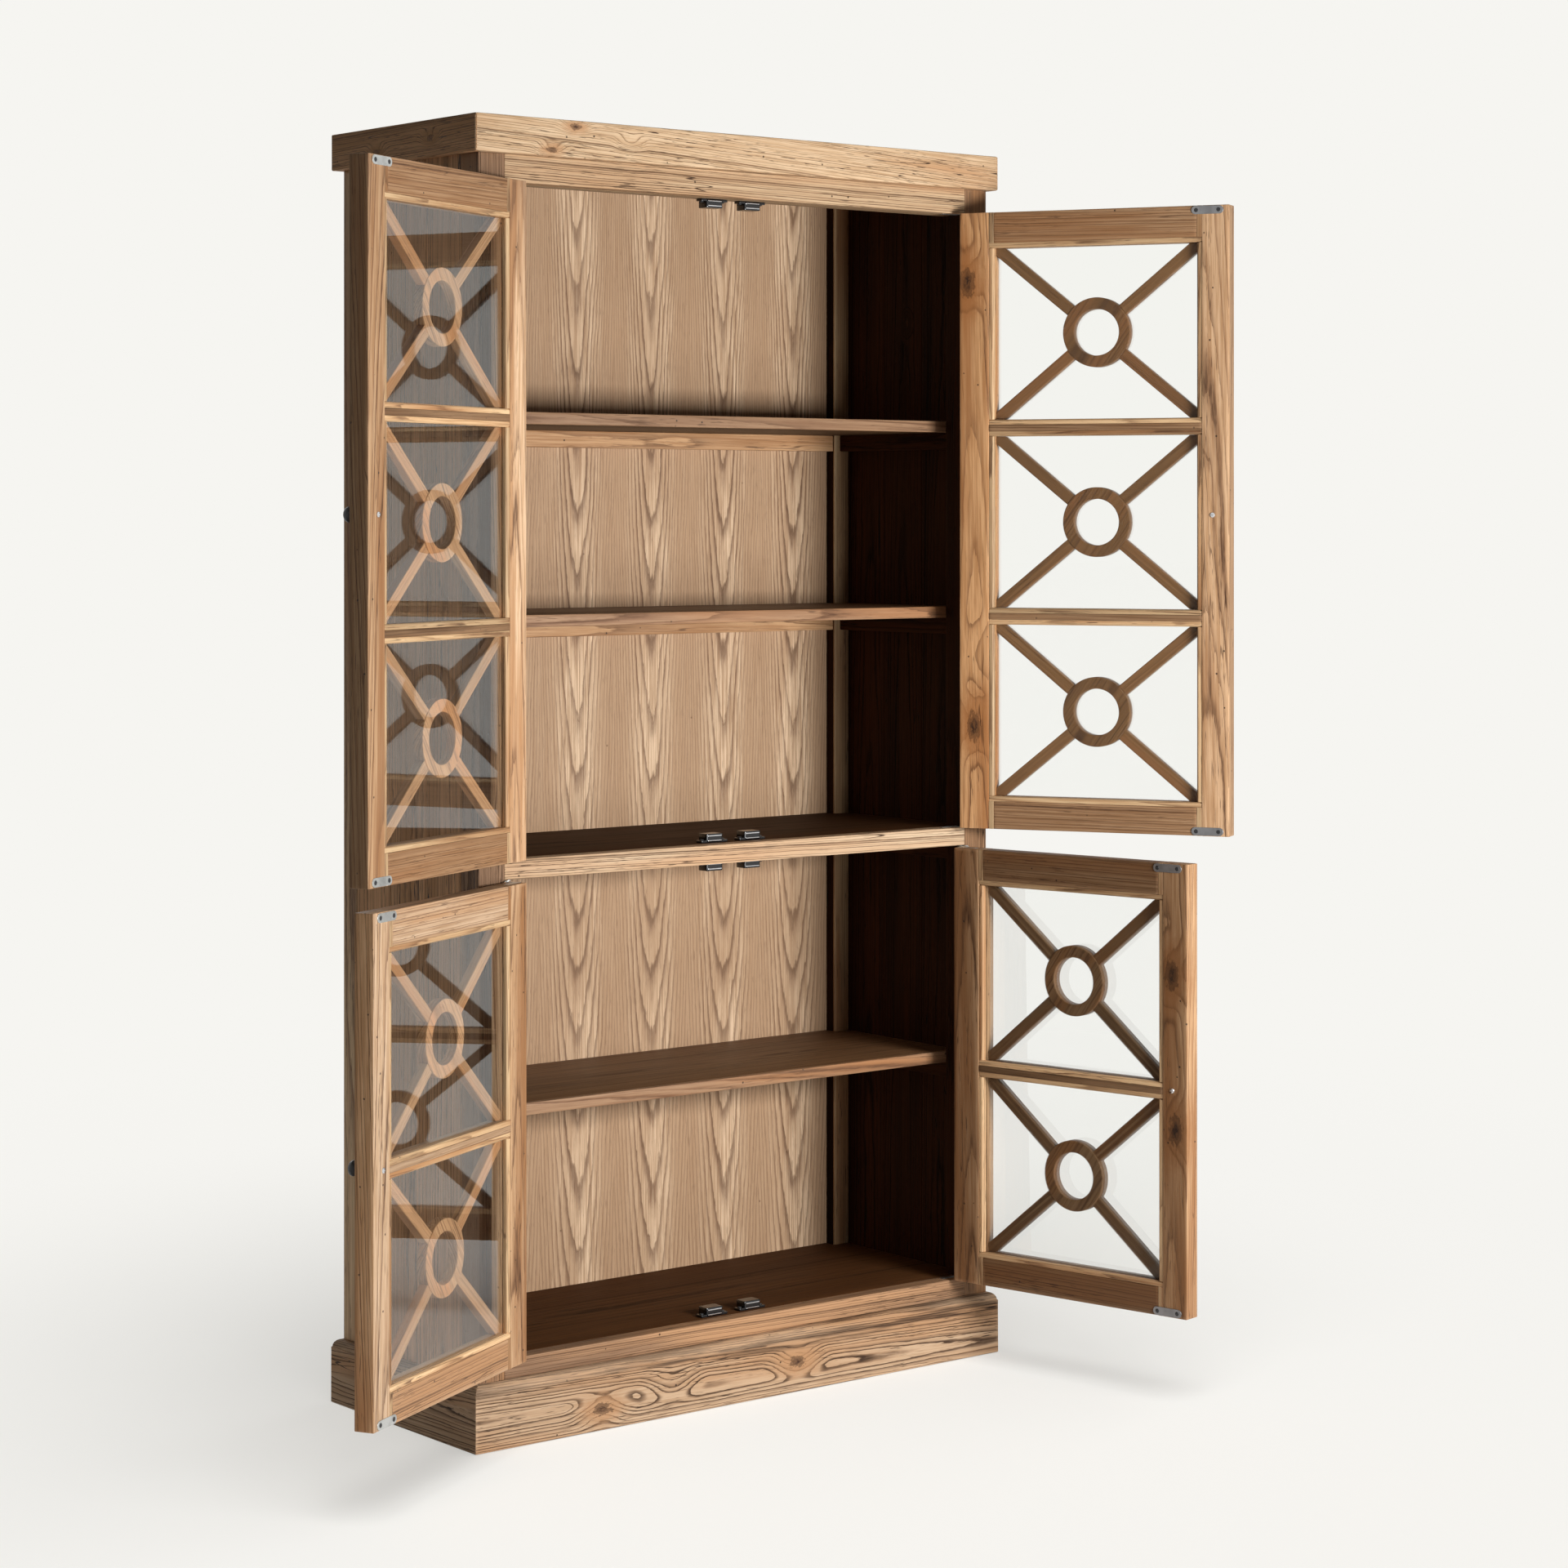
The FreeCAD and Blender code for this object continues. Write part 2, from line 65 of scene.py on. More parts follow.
def addNode(tree, kind, wires=None, **settings):
    made = tree.nodes.new("ShaderNode" + kind)
    for key, value in settings.items():
        setattr(made, key, value)
    for key, value in (wires or {}).items():
        feed(tree, made.inputs[key], value)
    return made


def sums(tree, operation, *values, clamp=False):
    return addNode(tree, "Math", dict(enumerate(values)), operation=operation, use_clamp=clamp).outputs[0]


def times(tree, first, *others):
    for value in others:
        first = sums(tree, "MULTIPLY", first, value)
    return first


def timesPlus(tree, first, second, third):
    return sums(tree, "MULTIPLY_ADD", first, second, third)


def stretched(tree, vector, scale):
    return addNode(tree, "VectorMath", {0: vector, 1: scale}, operation="MULTIPLY").outputs[0]


def lengthOf(tree, vector):
    return addNode(tree, "VectorMath", {0: vector}, operation="LENGTH").outputs["Value"]


def ranged(tree, value, low, high, newLow=0.0, newHigh=1.0, smooth=True):
    kind = "SMOOTHSTEP" if smooth else "LINEAR"
    wires = {"Value": value, "From Min": low, "From Max": high, "To Min": newLow, "To Max": newHigh}
    return addNode(tree, "MapRange", wires, interpolation_type=kind).outputs[0]


def blended(tree, share, colourA, colourB, mode="MIX"):
    wires = {0: share, 6: colourA, 7: colourB}
    return addNode(tree, "Mix", wires, data_type="RGBA", blend_type=mode).outputs[2]


def attribute(tree, name, output):
    return addNode(tree, "Attribute", attribute_name=name).outputs[output]


def newMaterial(name):
    material = bpy.data.materials.new(name)
    material.use_nodes = True
    material.node_tree.nodes.clear()
    return material, material.node_tree


def finishMaterial(material, tree, wires, bump):
    height, strength, distance = bump
    made = addNode(tree, "Bump", {"Height": height, "Strength": strength, "Distance": distance})
    shader = addNode(tree, "BsdfPrincipled", {**wires, "Normal": made.outputs[0]})
    addNode(tree, "OutputMaterial", {0: shader.outputs[0]})
    return material


# Noise figures in the timber: steps per metre along the grain and across it, detail and roughness.
figures = {"wander": (1.6, 8.0, 3.0, 0.55), "ripple": (14.0, 120.0, 3.0, 0.6),
           "patch": (2.6, 26.0, 3.0, 0.5), "ragged": (90.0, 180.0, 3.0, 0.65),
           "broken": (26.0, 380.0, 2.0, 0.6), "fibre": (6.0, 260.0, 3.0, 0.65),
           "broad": (1.4, 18.0, 2.0, 0.5), "pores": (24.0, 520.0, 2.0, 0.55),
           "seam": (2.3, 75.0, 1.0, 0.5), "seamPlace": (2.0, 16.0, 0.0, 0.5),
           "smear": (4.0, 70.0, 3.0, 0.6), "leafBend": (3.2, 14.0, 2.0, 0.5),
           "leafJag": (30.0, 160.0, 3.0, 0.6), "leafPatch": (2.4, 12.0, 2.0, 0.5),
           "leafFibre": (8.0, 420.0, 3.0, 0.65), "leafStroke": (36.0, 700.0, 2.0, 0.55)}


def cloudy(tree, vector, scale, detail=2.0, rough=0.5, output=0):
    wires = {"Vector": stretched(tree, vector, scale), "Scale": 1.0, "Detail": detail, "Roughness": rough}
    return addNode(tree, "TexNoise", wires).outputs[output]


def figure(tree, grain, name, output=0):
    along, across, detail, rough = figures[name]
    return cloudy(tree, grain, (along, across, across), detail, rough, output)


# Timber looks. Lengths are in metres, and a board's own tone and hue vary these colours.
crownElm = {"pale": (0.77, 0.55, 0.345), "mid": (0.60, 0.39, 0.22), "late": (0.36, 0.19, 0.086),
            "line": (0.07, 0.034, 0.018), "warm": (0.54, 0.29, 0.14), "knot": (0.06, 0.025, 0.013),
            "spacing": 0.0044, "rise": 0.94, "fade": 0.45, "core": 0.22, "lineStrength": 0.9,  # year rings
            "wander": 0.006, "ripple": 0.55, "quiet": 0.5, "pores": 1.0, "holes": 0.10, "cracks": 1.0,
            "knotSwell": 0.022, "knotBend": 3.0, "knotRound": 0.0040, "ragged": 3.0,
            "gloss": 0.25, "rough": 0.62, "bump": 0.7}
headerElm = dict(crownElm, pale=(0.67, 0.46, 0.27), mid=(0.53, 0.335, 0.185), spacing=0.0042, core=0.34,
                 lineStrength=1.0, wander=0.004, quiet=0.6)
bottomElm = dict(crownElm, pale=(0.30, 0.172, 0.096), mid=(0.22, 0.118, 0.062), late=(0.14, 0.068, 0.033),
                 spacing=0.0040, wander=0.004)
plinthElm = dict(crownElm, pale=(0.68, 0.47, 0.30), mid=(0.53, 0.34, 0.20), late=(0.30, 0.16, 0.08),
                 line=(0.045, 0.022, 0.012), spacing=0.0048, core=0.34, lineStrength=1.0, wander=0.006,
                 ripple=0.6, knotSwell=0.040, knotRound=0.0075, knotBend=3.4, quiet=0.8, soot=(0.030, 0.046))
postElm = dict(crownElm, pale=(0.44, 0.27, 0.165), mid=(0.35, 0.205, 0.118), late=(0.23, 0.12, 0.062),
               spacing=0.0048, core=0.34, lineStrength=1.0, wander=0.003)
sideElm = dict(crownElm, pale=(0.53, 0.30, 0.155), mid=(0.36, 0.197, 0.10), late=(0.17, 0.09, 0.045),
               line=(0.018, 0.010, 0.006), warm=(0.31, 0.16, 0.07), spacing=0.0050, wander=0.006)
# Painted shade: near-black timber for the faces inside the cabinet that get little light, the sides' inner
# skins, the posts' cheeks and the side cleats.
insideShadeElm = dict(sideElm, pale=(0.048, 0.0130, 0.0033), mid=(0.028, 0.0077, 0.0020),
                  late=(0.008, 0.0025, 0.001), warm=(0.016, 0.0045, 0.0015), line=(0.003, 0.0012, 0.0006),
                  gloss=0.1, holes=0.0)
doorElm = dict(crownElm, pale=(0.70, 0.43, 0.235), mid=(0.49, 0.265, 0.125), late=(0.28, 0.125, 0.052),
               line=(0.07, 0.030, 0.014), warm=(0.36, 0.155, 0.056), knot=(0.030, 0.013, 0.007),
               spacing=0.0056, fade=0.60, core=0.24, lineStrength=0.85, wander=0.007, ripple=0.4, pores=0.8,
               holes=0.30, cracks=0.6, quiet=0.45, knotSwell=0.045, knotBend=1.8, knotRound=0.0105, ragged=2.0,
               gloss=0.3, rough=0.50, bump=0.3)
railElm = dict(doorElm, pale=(0.48, 0.28, 0.146), mid=(0.34, 0.176, 0.08), late=(0.18, 0.078, 0.032),
               lineStrength=0.9, wander=0.004)
fretElm = dict(doorElm, pale=(0.38, 0.22, 0.112), mid=(0.285, 0.152, 0.07), late=(0.19, 0.092, 0.04),
               spacing=0.0045, holes=0.0, wander=0.004, cracks=0.3)
# Painted shade: a darker copy of the fretwork timber for the upper right door, whose inner side gets little
# light.
fretShadeElm = dict(fretElm, pale=(0.30, 0.152, 0.060), mid=(0.22, 0.105, 0.038), late=(0.14, 0.06, 0.02))
beadElm = dict(doorElm, pale=(0.72, 0.50, 0.28), mid=(0.54, 0.33, 0.17), spacing=0.0032, holes=0.02,
               wander=0.003)
shelfElm = dict(doorElm, pale=(0.130, 0.066, 0.029), mid=(0.096, 0.047, 0.020), late=(0.06, 0.028, 0.012),
                line=(0.02, 0.01, 0.005), warm=(0.085, 0.04, 0.016), gloss=0.2, holes=0.0)
floorElm = dict(shelfElm, pale=(0.073, 0.0295, 0.0100), mid=(0.052, 0.0205, 0.0068),
                late=(0.034, 0.0145, 0.0058), warm=(0.049, 0.019, 0.0062), gloss=0.06, rough=0.66)
edgeElm = dict(railElm, pale=(0.35, 0.205, 0.113), mid=(0.265, 0.143, 0.075), spacing=0.0040, wander=0.003)

# Shared by all timber. A span is a figure's low and high value, then what they become if not 0 and 1.
timber = {"ior": 1.45, "lineStart": 0.02, "fadeShare": 0.75, "yearFade": 0.5, "unevenScale": 0.45,
          "unevenShare": 2.4, "patchSpan": (0.35, 0.60), "brokenSpan": (0.36, 0.56), "fibreSpan": (0.34, 0.66),
          "warmSpan": (0.44, 0.68, 0.0, 0.85), "poreSpan": (0.60, 0.68), "porePatch": (0.40, 0.62),
          "knotStretch": (0.5, 1.0, 1.0), "haloReach": 4.5, "haloShare": 0.85, "eyeReach": (0.55, 1.05),
          "rimReach": 1.4, "rimShare": 0.7, "eyeSpan": (0.40, 0.60, 0.7, 1.0),
          "seamSpan": (0.003, 0.012, 1.0, 0.0), "seamPlaceSpan": (0.55, 0.62),
          "wormScale": 55.0, "wormSpan": (0.07, 0.12), "wormShare": 0.85, "wormColour": (0.03, 0.018, 0.012),
          "smearSpan": (0.42, 0.62, 0.0, 0.8), "wornSpan": (0.40, 0.65, 0.0, 0.35),
          "toneSpan": 0.8, "toneLow": 0.6, "greenHue": 0.12, "blueHue": 0.30, "lineRough": 0.18,
          "poreHeight": -0.8, "lineHeight": -1.0, "fibreHeight": 0.6, "crackHeight": -2.0, "holeHeight": -2.5,
          "bumpDistance": 0.0008}


# The first two spots on a board are knots, the third is an eye that only bends the grain.
def knotSpans(tree):
    spans = [lengthOf(tree, stretched(tree, attribute(tree, name, "Vector"), timber["knotStretch"]))
             for name in knotKeys]
    knotNear = sums(tree, "MINIMUM", spans[0], spans[1])
    return knotNear, sums(tree, "MINIMUM", knotNear, spans[2])


# Year rings round the log's heart, pushed aside by knots and by slow and fine noise.
def ringField(tree, look, grain, bendNear):
    wander = figure(tree, grain, "wander", "Color")
    drift = addNode(tree, "VectorMath", {0: wander, 1: (0.5, 0.5, 0.5)}, operation="SUBTRACT").outputs[0]
    drift = stretched(tree, drift, (0.0, look["wander"] * 2, look["wander"] * 2))
    bent = addNode(tree, "VectorMath", {0: grain, 1: drift}, operation="ADD").outputs[0]
    radius = lengthOf(tree, stretched(tree, bent, (0.0, 1.0, 1.0)))
    radius = timesPlus(tree, figure(tree, grain, "ripple"), look["spacing"] * look["ripple"], radius)
    swell = ranged(tree, bendNear, 0.0, look["knotSwell"], 1.0, 0.0)
    radius = timesPlus(tree, swell, look["spacing"] * look["knotBend"], radius)
    rings = sums(tree, "DIVIDE", radius, look["spacing"])
    wires = {"W": rings, "Scale": timber["unevenScale"], "Detail": 1.0}
    uneven = addNode(tree, "TexNoise", wires, noise_dimensions="1D").outputs[0]
    return timesPlus(tree, uneven, timber["unevenShare"], rings)


# Each year has its own strength, a dark core line, and a fade from it into pale wood.
def yearLines(tree, rings, look):
    phase = sums(tree, "FRACT", rings)
    year = addNode(tree, "TexWhiteNoise", {"W": sums(tree, "FLOOR", rings)}, noise_dimensions="1D").outputs[0]
    rising = ranged(tree, phase, look["rise"], 1.0)
    fade = sums(tree, "MAXIMUM", ranged(tree, phase, 0.0, look["fade"], 1.0, 0.0), rising)
    core = sums(tree, "MAXIMUM", ranged(tree, phase, timber["lineStart"], look["core"], 1.0, 0.0), rising)
    return year, fade, core


def wormHoles(tree, grain, scale, span, share):
    worm = addNode(tree, "TexVoronoi", {"Vector": grain, "Scale": scale})
    lucky = addNode(tree, "SeparateColor", {0: worm.outputs["Color"]}).outputs[0]
    hole = ranged(tree, worm.outputs["Distance"], *span, 1.0, 0.0)
    return times(tree, hole, sums(tree, "LESS_THAN", lucky, share))


# A knot has a warm halo, a dark rim and a ragged eye.
def paintKnots(tree, look, colour, knotNear, ragged):
    size = look["knotRound"]
    knotNear = timesPlus(tree, sums(tree, "SUBTRACT", ragged, 0.5), size * look["ragged"], knotNear)
    halo = ranged(tree, knotNear, size, size * timber["haloReach"], timber["haloShare"], 0.0)
    colour = blended(tree, halo, colour, look["warm"])
    eye = ranged(tree, knotNear, *(size * reach for reach in timber["eyeReach"]), 1.0, 0.0)
    rim = ranged(tree, knotNear, size, size * timber["rimReach"], timber["rimShare"], 0.0)
    colour = blended(tree, sums(tree, "SUBTRACT", rim, eye, clamp=True), colour, look["line"])
    return blended(tree, times(tree, eye, ranged(tree, ragged, *timber["eyeSpan"])), colour, look["knot"])


# A board's tone makes it darker or lighter, its hue yellower or bluer.
def paintTone(tree, colour):
    shade = timesPlus(tree, attribute(tree, "tone", "Fac"), timber["toneSpan"], timber["toneLow"])
    hue = attribute(tree, "hue", "Fac")
    green = times(tree, shade, timesPlus(tree, hue, timber["greenHue"], 1.0))
    blue = times(tree, shade, timesPlus(tree, hue, timber["blueHue"], 1.0))
    tint = addNode(tree, "CombineColor", {0: shade, 1: green, 2: blue}).outputs[0]
    return blended(tree, 1.0, colour, tint, "MULTIPLY")


def woodMaterial(name, look):
    material, tree = newMaterial(name)
    grain = attribute(tree, "grain", "Vector")
    knotNear, bendNear = knotSpans(tree)
    year, fade, core = yearLines(tree, ringField(tree, look, grain, bendNear), look)
    patch, fibre = figure(tree, grain, "patch"), figure(tree, grain, "fibre")
    core = times(tree, core, ranged(tree, year, 0.0, 1.0, look["quiet"], 1.0, False),
                 ranged(tree, patch, *timber["patchSpan"], look["quiet"], 1.0),
                 ranged(tree, figure(tree, grain, "broken"), *timber["brokenSpan"], look["quiet"], 1.0))
    fade = times(tree, fade, ranged(tree, year, 0.0, 1.0, timber["yearFade"], 1.0, False))
    colour = blended(tree, ranged(tree, fibre, *timber["fibreSpan"]), look["pale"], look["mid"])
    warmth = ranged(tree, figure(tree, grain, "broad"), *timber["warmSpan"])
    colour = blended(tree, warmth, colour, look["warm"])
    colour = blended(tree, times(tree, fade, timber["fadeShare"] * look["lineStrength"]), colour, look["late"])
    colour = blended(tree, times(tree, core, look["lineStrength"]), colour, look["line"])
    pores = times(tree, ranged(tree, figure(tree, grain, "pores"), *timber["poreSpan"]),
                  ranged(tree, patch, *timber["porePatch"]))
    colour = blended(tree, times(tree, pores, look["pores"]), colour, look["line"])
    colour = paintKnots(tree, look, colour, knotNear, figure(tree, grain, "ragged"))
    seam = sums(tree, "ABSOLUTE", sums(tree, "SUBTRACT", figure(tree, grain, "seam"), 0.5))
    crack = times(tree, ranged(tree, seam, *timber["seamSpan"]),
                  ranged(tree, figure(tree, grain, "seamPlace"), *timber["seamPlaceSpan"]))
    colour = blended(tree, times(tree, crack, look["cracks"]), colour, look["line"])
    height = timesPlus(tree, pores, timber["poreHeight"], times(tree, core, timber["lineHeight"]))
    height = timesPlus(tree, fibre, timber["fibreHeight"], height)
    height = timesPlus(tree, crack, timber["crackHeight"], height)
    if look["holes"]:
        hole = wormHoles(tree, grain, timber["wormScale"], timber["wormSpan"], look["holes"])
        colour = blended(tree, times(tree, hole, timber["wormShare"]), colour, timber["wormColour"])
        height = timesPlus(tree, hole, timber["holeHeight"], height)
    if "soot" in look:
        high = ranged(tree, addNode(tree, "SeparateXYZ", {0: grain}).outputs[1], *look["soot"])
        smear = ranged(tree, figure(tree, grain, "smear"), *timber["smearSpan"])
        colour = blended(tree, times(tree, high, smear), colour, look["line"])
    colour = paintTone(tree, colour)
    worn = times(tree, attribute(tree, "edge", "Fac"), ranged(tree, patch, *timber["wornSpan"]))
    colour = blended(tree, worn, colour, look["pale"])
    rough = ranged(tree, core, 0.0, 1.0, look["rough"], look["rough"] + timber["lineRough"], False)
    wires = {"Base Color": colour, "Roughness": rough, "IOR": timber["ior"],
             "Specular IOR Level": look["gloss"]}
    return finishMaterial(material, tree, wires, (height, look["bump"], timber["bumpDistance"]))


# The back's veneer: leaves of equal width whose figure repeats, each a run of V shapes pointing down.
veneer = {"pale": (0.84, 0.61, 0.405), "mid": (0.455, 0.28, 0.16), "late": (0.23, 0.122, 0.065),
          "line": (0.13, 0.065, 0.034), "leafWidth": 0.160, "leafStart": 0.0055, "leafSlip": 0.013,
          "leafShift": 0.004, "heart": 0.112, "lean": 0.036, "spacing": 0.0042, "point": 0.03,
          "depthBend": 0.006, "sideBend": 0.016, "jag": 0.0022, "rise": 0.88, "fade": 0.62, "core": 0.30,
          "beside": (0.022, 0.062), "besideLeast": 0.5, "besideShare": 0.8, "yearLeast": 0.55,
          "patchWeight": (0.34, 0.62, 0.65, 1.0), "patchSpan": (0.42, 0.62, 0.0, 0.6), "fadeShare": 0.8,
          "coreShare": 0.7, "fibreSpan": (0.32, 0.68), "strokeSpan": (0.60, 0.70, 0.0, 0.4), "wormScale": 24.0,
          "wormSpan": (0.03, 0.06), "worms": 0.16, "wormShare": 0.6, "fibreHeight": 0.5, "gloss": 0.25,
          "rough": 0.55, "bump": 0.2, "bumpDistance": 0.0004}


def veneerMaterial(look):
    material, tree = newMaterial("ashVeneer")
    grain = attribute(tree, "grain", "Vector")
    parts = addNode(tree, "SeparateXYZ", {0: grain})
    rise, across = parts.outputs[0], parts.outputs[1]
    leafCount = sums(tree, "DIVIDE", sums(tree, "SUBTRACT", across, look["leafStart"]), look["leafWidth"])
    local = times(tree, sums(tree, "SUBTRACT", sums(tree, "FRACT", leafCount), 0.5), look["leafWidth"])
    leaf = sums(tree, "FLOOR", leafCount)
    slip = timesPlus(tree, leaf, look["leafSlip"], rise)
    place = {0: slip, 1: local, 2: times(tree, leaf, look["leafShift"])}
    place = addNode(tree, "CombineXYZ", place).outputs[0]
    bend = sums(tree, "SUBTRACT", figure(tree, place, "leafBend"), 0.5)
    jag = sums(tree, "SUBTRACT", figure(tree, place, "leafJag"), 0.5)
    depth = timesPlus(tree, slip, -look["lean"], look["heart"])
    depth = timesPlus(tree, bend, look["depthBend"], depth)
    aside = timesPlus(tree, bend, look["sideBend"], local)
    radius = lengthOf(tree, addNode(tree, "CombineXYZ", {0: aside, 1: depth}).outputs[0])
    radius = timesPlus(tree, jag, look["jag"], radius)
    radius = timesPlus(tree, sums(tree, "ABSOLUTE", aside), look["point"], radius)
    year, fade, core = yearLines(tree, sums(tree, "DIVIDE", radius, look["spacing"]), look)
    patch, fibre = figure(tree, place, "leafPatch"), figure(tree, place, "leafFibre")
    beside = ranged(tree, sums(tree, "ABSOLUTE", local), *look["beside"])
    weight = times(tree, ranged(tree, year, 0.0, 1.0, look["yearLeast"], 1.0, False),
                   ranged(tree, patch, *look["patchWeight"]),
                   ranged(tree, beside, 0.0, 1.0, 1.0, look["besideLeast"], False))
    colour = blended(tree, ranged(tree, fibre, *look["fibreSpan"]), look["pale"], look["mid"])
    darker = ranged(tree, patch, *look["patchSpan"])
    darker = sums(tree, "MAXIMUM", darker, times(tree, beside, look["besideShare"]))
    colour = blended(tree, darker, colour, look["mid"])
    colour = blended(tree, times(tree, fade, weight, look["fadeShare"]), colour, look["late"])
    colour = blended(tree, times(tree, core, weight, look["coreShare"]), colour, look["line"])
    stroke = ranged(tree, figure(tree, place, "leafStroke"), *look["strokeSpan"])
    colour = blended(tree, stroke, colour, look["line"])
    mark = wormHoles(tree, grain, look["wormScale"], look["wormSpan"], look["worms"])
    colour = blended(tree, times(tree, mark, look["wormShare"]), colour, look["line"])
    height = timesPlus(tree, fibre, look["fibreHeight"], times(tree, core, timber["lineHeight"]))
    wires = {"Base Color": colour, "Roughness": look["rough"], "IOR": timber["ior"],
             "Specular IOR Level": look["gloss"]}
    return finishMaterial(material, tree, wires, (height, look["bump"], look["bumpDistance"]))


knotKeys, numberKeys = ("knotA", "knotB", "knotC"), ("tone", "hue", "edge")
farKnot = Vector((9, 9, 9))


# A part gathers boards. A board is a section swept along its length, with its own piece of log.
# Its grain coordinates run x along the log, y and z from the log's heart.
def newPart():
    return {key: [] for key in ("corners", "faces", "grain", *knotKeys, *numberKeys)}


def addPoint(part, corner, grain, tone, hue=0.0, edge=0.0, knots=(farKnot,) * 3):
    for key, value in (("corners", corner), ("grain", grain), ("tone", tone), ("hue", hue), ("edge", edge)):
        part[key].append(value)
    for key, value in zip(knotKeys, knots):
        part[key].append(value)


# Faces between rows of points: each row may close on itself, and the last row may meet the first.
def joinRows(part, first, size, rows, closeRows=False, closePoints=True):
    for i in range(rows if closeRows else rows - 1):
        a, b = first + i * size, first + (i + 1) % rows * size
        for j in range(size if closePoints else size - 1):
            part["faces"].append((a + j, a + (j + 1) % size, b + (j + 1) % size, b + j))


def closeEnds(part, first, size, rows):
    last = first + (rows - 1) * size
    part["faces"].append(tuple(range(first + size - 1, first - 1, -1)))
    part["faces"].append(tuple(range(last, last + size)))


# Where a board's middle may lie from the log's heart: a flat sawn one beside it, a rift sawn one well away.
sawn = {"flatAside": (-0.012, 0.012), "flatDepth": (0.03, 0.07), "riftAside": (0.10, 0.16),
        "riftDepth": (-0.02, 0.02), "along": (0, 40)}


def logPlace(cut):
    side = 1 if cut == "flat" else dice.choice([-1, 1])
    aside = side * dice.uniform(*sawn[cut + "Aside"])
    depth = dice.uniform(*sawn[cut + "Depth"])
    return Vector((dice.uniform(*sawn["along"]), aside, depth))


board = {"cornerPull": 1.4, "bandRoom": 3.2, "endStep": 0.35, "endInset": 0.3, "waverRate": 9,
         "waverShift": 0.7, "hair": 0.00001}


# The section's outline with rounded corners and a band of points beside each corner.
def softOutline(points, arris, band):
    soft = []
    count, pull = len(points), board["cornerPull"]
    for i in range(count):
        here = Vector(points[i])
        before, after = Vector(points[i - 1]) - here, Vector(points[(i + 1) % count]) - here
        reach = min(arris, before.length / 3, after.length / 3)
        a, b = here + before.normalized() * reach, here + after.normalized() * reach
        if before.length > band * board["bandRoom"]:
            soft.append((here + before.normalized() * band, 0.0))
        soft += [(a, 1.0), ((a + b + here * pull) / (2 + pull), 1.0), (b, 1.0)]
        if after.length > band * board["bandRoom"]:
            soft.append((here + after.normalized() * band, 0.0))
    return soft


def addBoard(part, origin, axes, length, section, arris=0.0012, band=0.006, start=None, end=None, log=None,
             cut="flat", knots=(), tone=None, edgeLightShade=0, hue=0, step=0.07, waver=0.00025, tilt=0.012):
    along, across, deep = axes
    outline = softOutline(section, arris, band)
    heart = Vector((sum(p.x for p, _ in outline), sum(p.y for p, _ in outline))) / len(outline)
    log = Vector(log) if log else logPlace(cut)
    tone = dice.random() if tone is None else tone
    shift = dice.uniform(0, 90)
    knotSpots = [Vector(k) - Vector((0, heart.x, heart.y)) for k in knots] + [farKnot] * (3 - len(knots))
    inner = max(2, round((length - 2 * band) / step))
    ends = [arris * board["endStep"] / length, arris / length, band / length]
    shares = [0] + ends + [band / length + (1 - 2 * band / length) * i / inner for i in range(1, inner)]
    shares += [1 - s for s in ends[::-1]] + [1]
    first, rows = len(part["corners"]), len(shares)
    farSide = max(point.x for point, _ in outline) - board["hair"]
    for k, share in enumerate(shares):
        fromEnd = min(k, rows - 1 - k)
        rim = 1.0 if fromEnd < 3 else 0.0
        inset = (arris, arris * board["endInset"], 0)[fromEnd] if rim else 0.0
        for j, (point, isArris) in enumerate(outline):
            low = start(point.x, point.y) if start else 0.0
            high = end(point.x, point.y) if end else length
            toHeart = heart - point
            rate = share * length * board["waverRate"] + shift
            pull = inset + waver * (0.5 + 0.5 * noise.noise(Vector((rate, j * board["waverShift"], 0))))
            spot = point + toHeart.normalized() * min(pull, toHeart.length)
            run = low + share * (high - low)
            place = Vector((run, spot.x - heart.x, spot.y - heart.y))
            # A free edge's own tone is painted light and shade: that one face is made lighter or darker to
            # show how it is lit.
            onEdge = edgeLightShade and point.x > farSide
            addPoint(part, origin + along * run + across * spot.x + deep * spot.y,
                     place + log + Vector((0, run * tilt, run * tilt)), tone + edgeLightShade if onEdge else tone,
                     0.0 if onEdge else hue, max(rim, isArris), [place - knotSpot for knotSpot in knotSpots])
    joinRows(part, first, len(outline), rows)
    closeEnds(part, first, len(outline), rows)


def box2d(a0, a1, d0, d1):
    return [(a0, d0), (a1, d0), (a1, d1), (a0, d1)]


# A plain board that fills a box.
def fillBox(part, low, high, axes, **options):
    length, wide, deep = ((high - low).dot(axis) for axis in axes)
    addBoard(part, low, axes, length, box2d(0, wide, 0, deep), **options)


# A plate cut to an outline in plan, such as a notched shelf, with its grain along X.
def addPlate(part, outline, low, high, arris=0.0012, tone=0.5):
    log = logPlace("flat")
    mesh = bmesh.new()
    face = mesh.faces.new([mesh.verts.new((x, y, low)) for x, y in outline])
    lifted = bmesh.ops.extrude_face_region(mesh, geom=[face])["geom"]
    lifted = [v for v in lifted if isinstance(v, bmesh.types.BMVert)]
    bmesh.ops.translate(mesh, vec=(0, 0, high - low), verts=lifted)
    bmesh.ops.bevel(mesh, geom=mesh.edges[:], offset=arris, segments=2, affect="EDGES", profile=0.5)
    mesh.verts.ensure_lookup_table()
    first = len(part["corners"])
    for vertex in mesh.verts:
        addPoint(part, vertex.co.copy(), vertex.co + log - Vector((0, 0, low)), tone)
    for face in mesh.faces:
        part["faces"].append(tuple(first + vertex.index for vertex in face.verts))
    mesh.free()


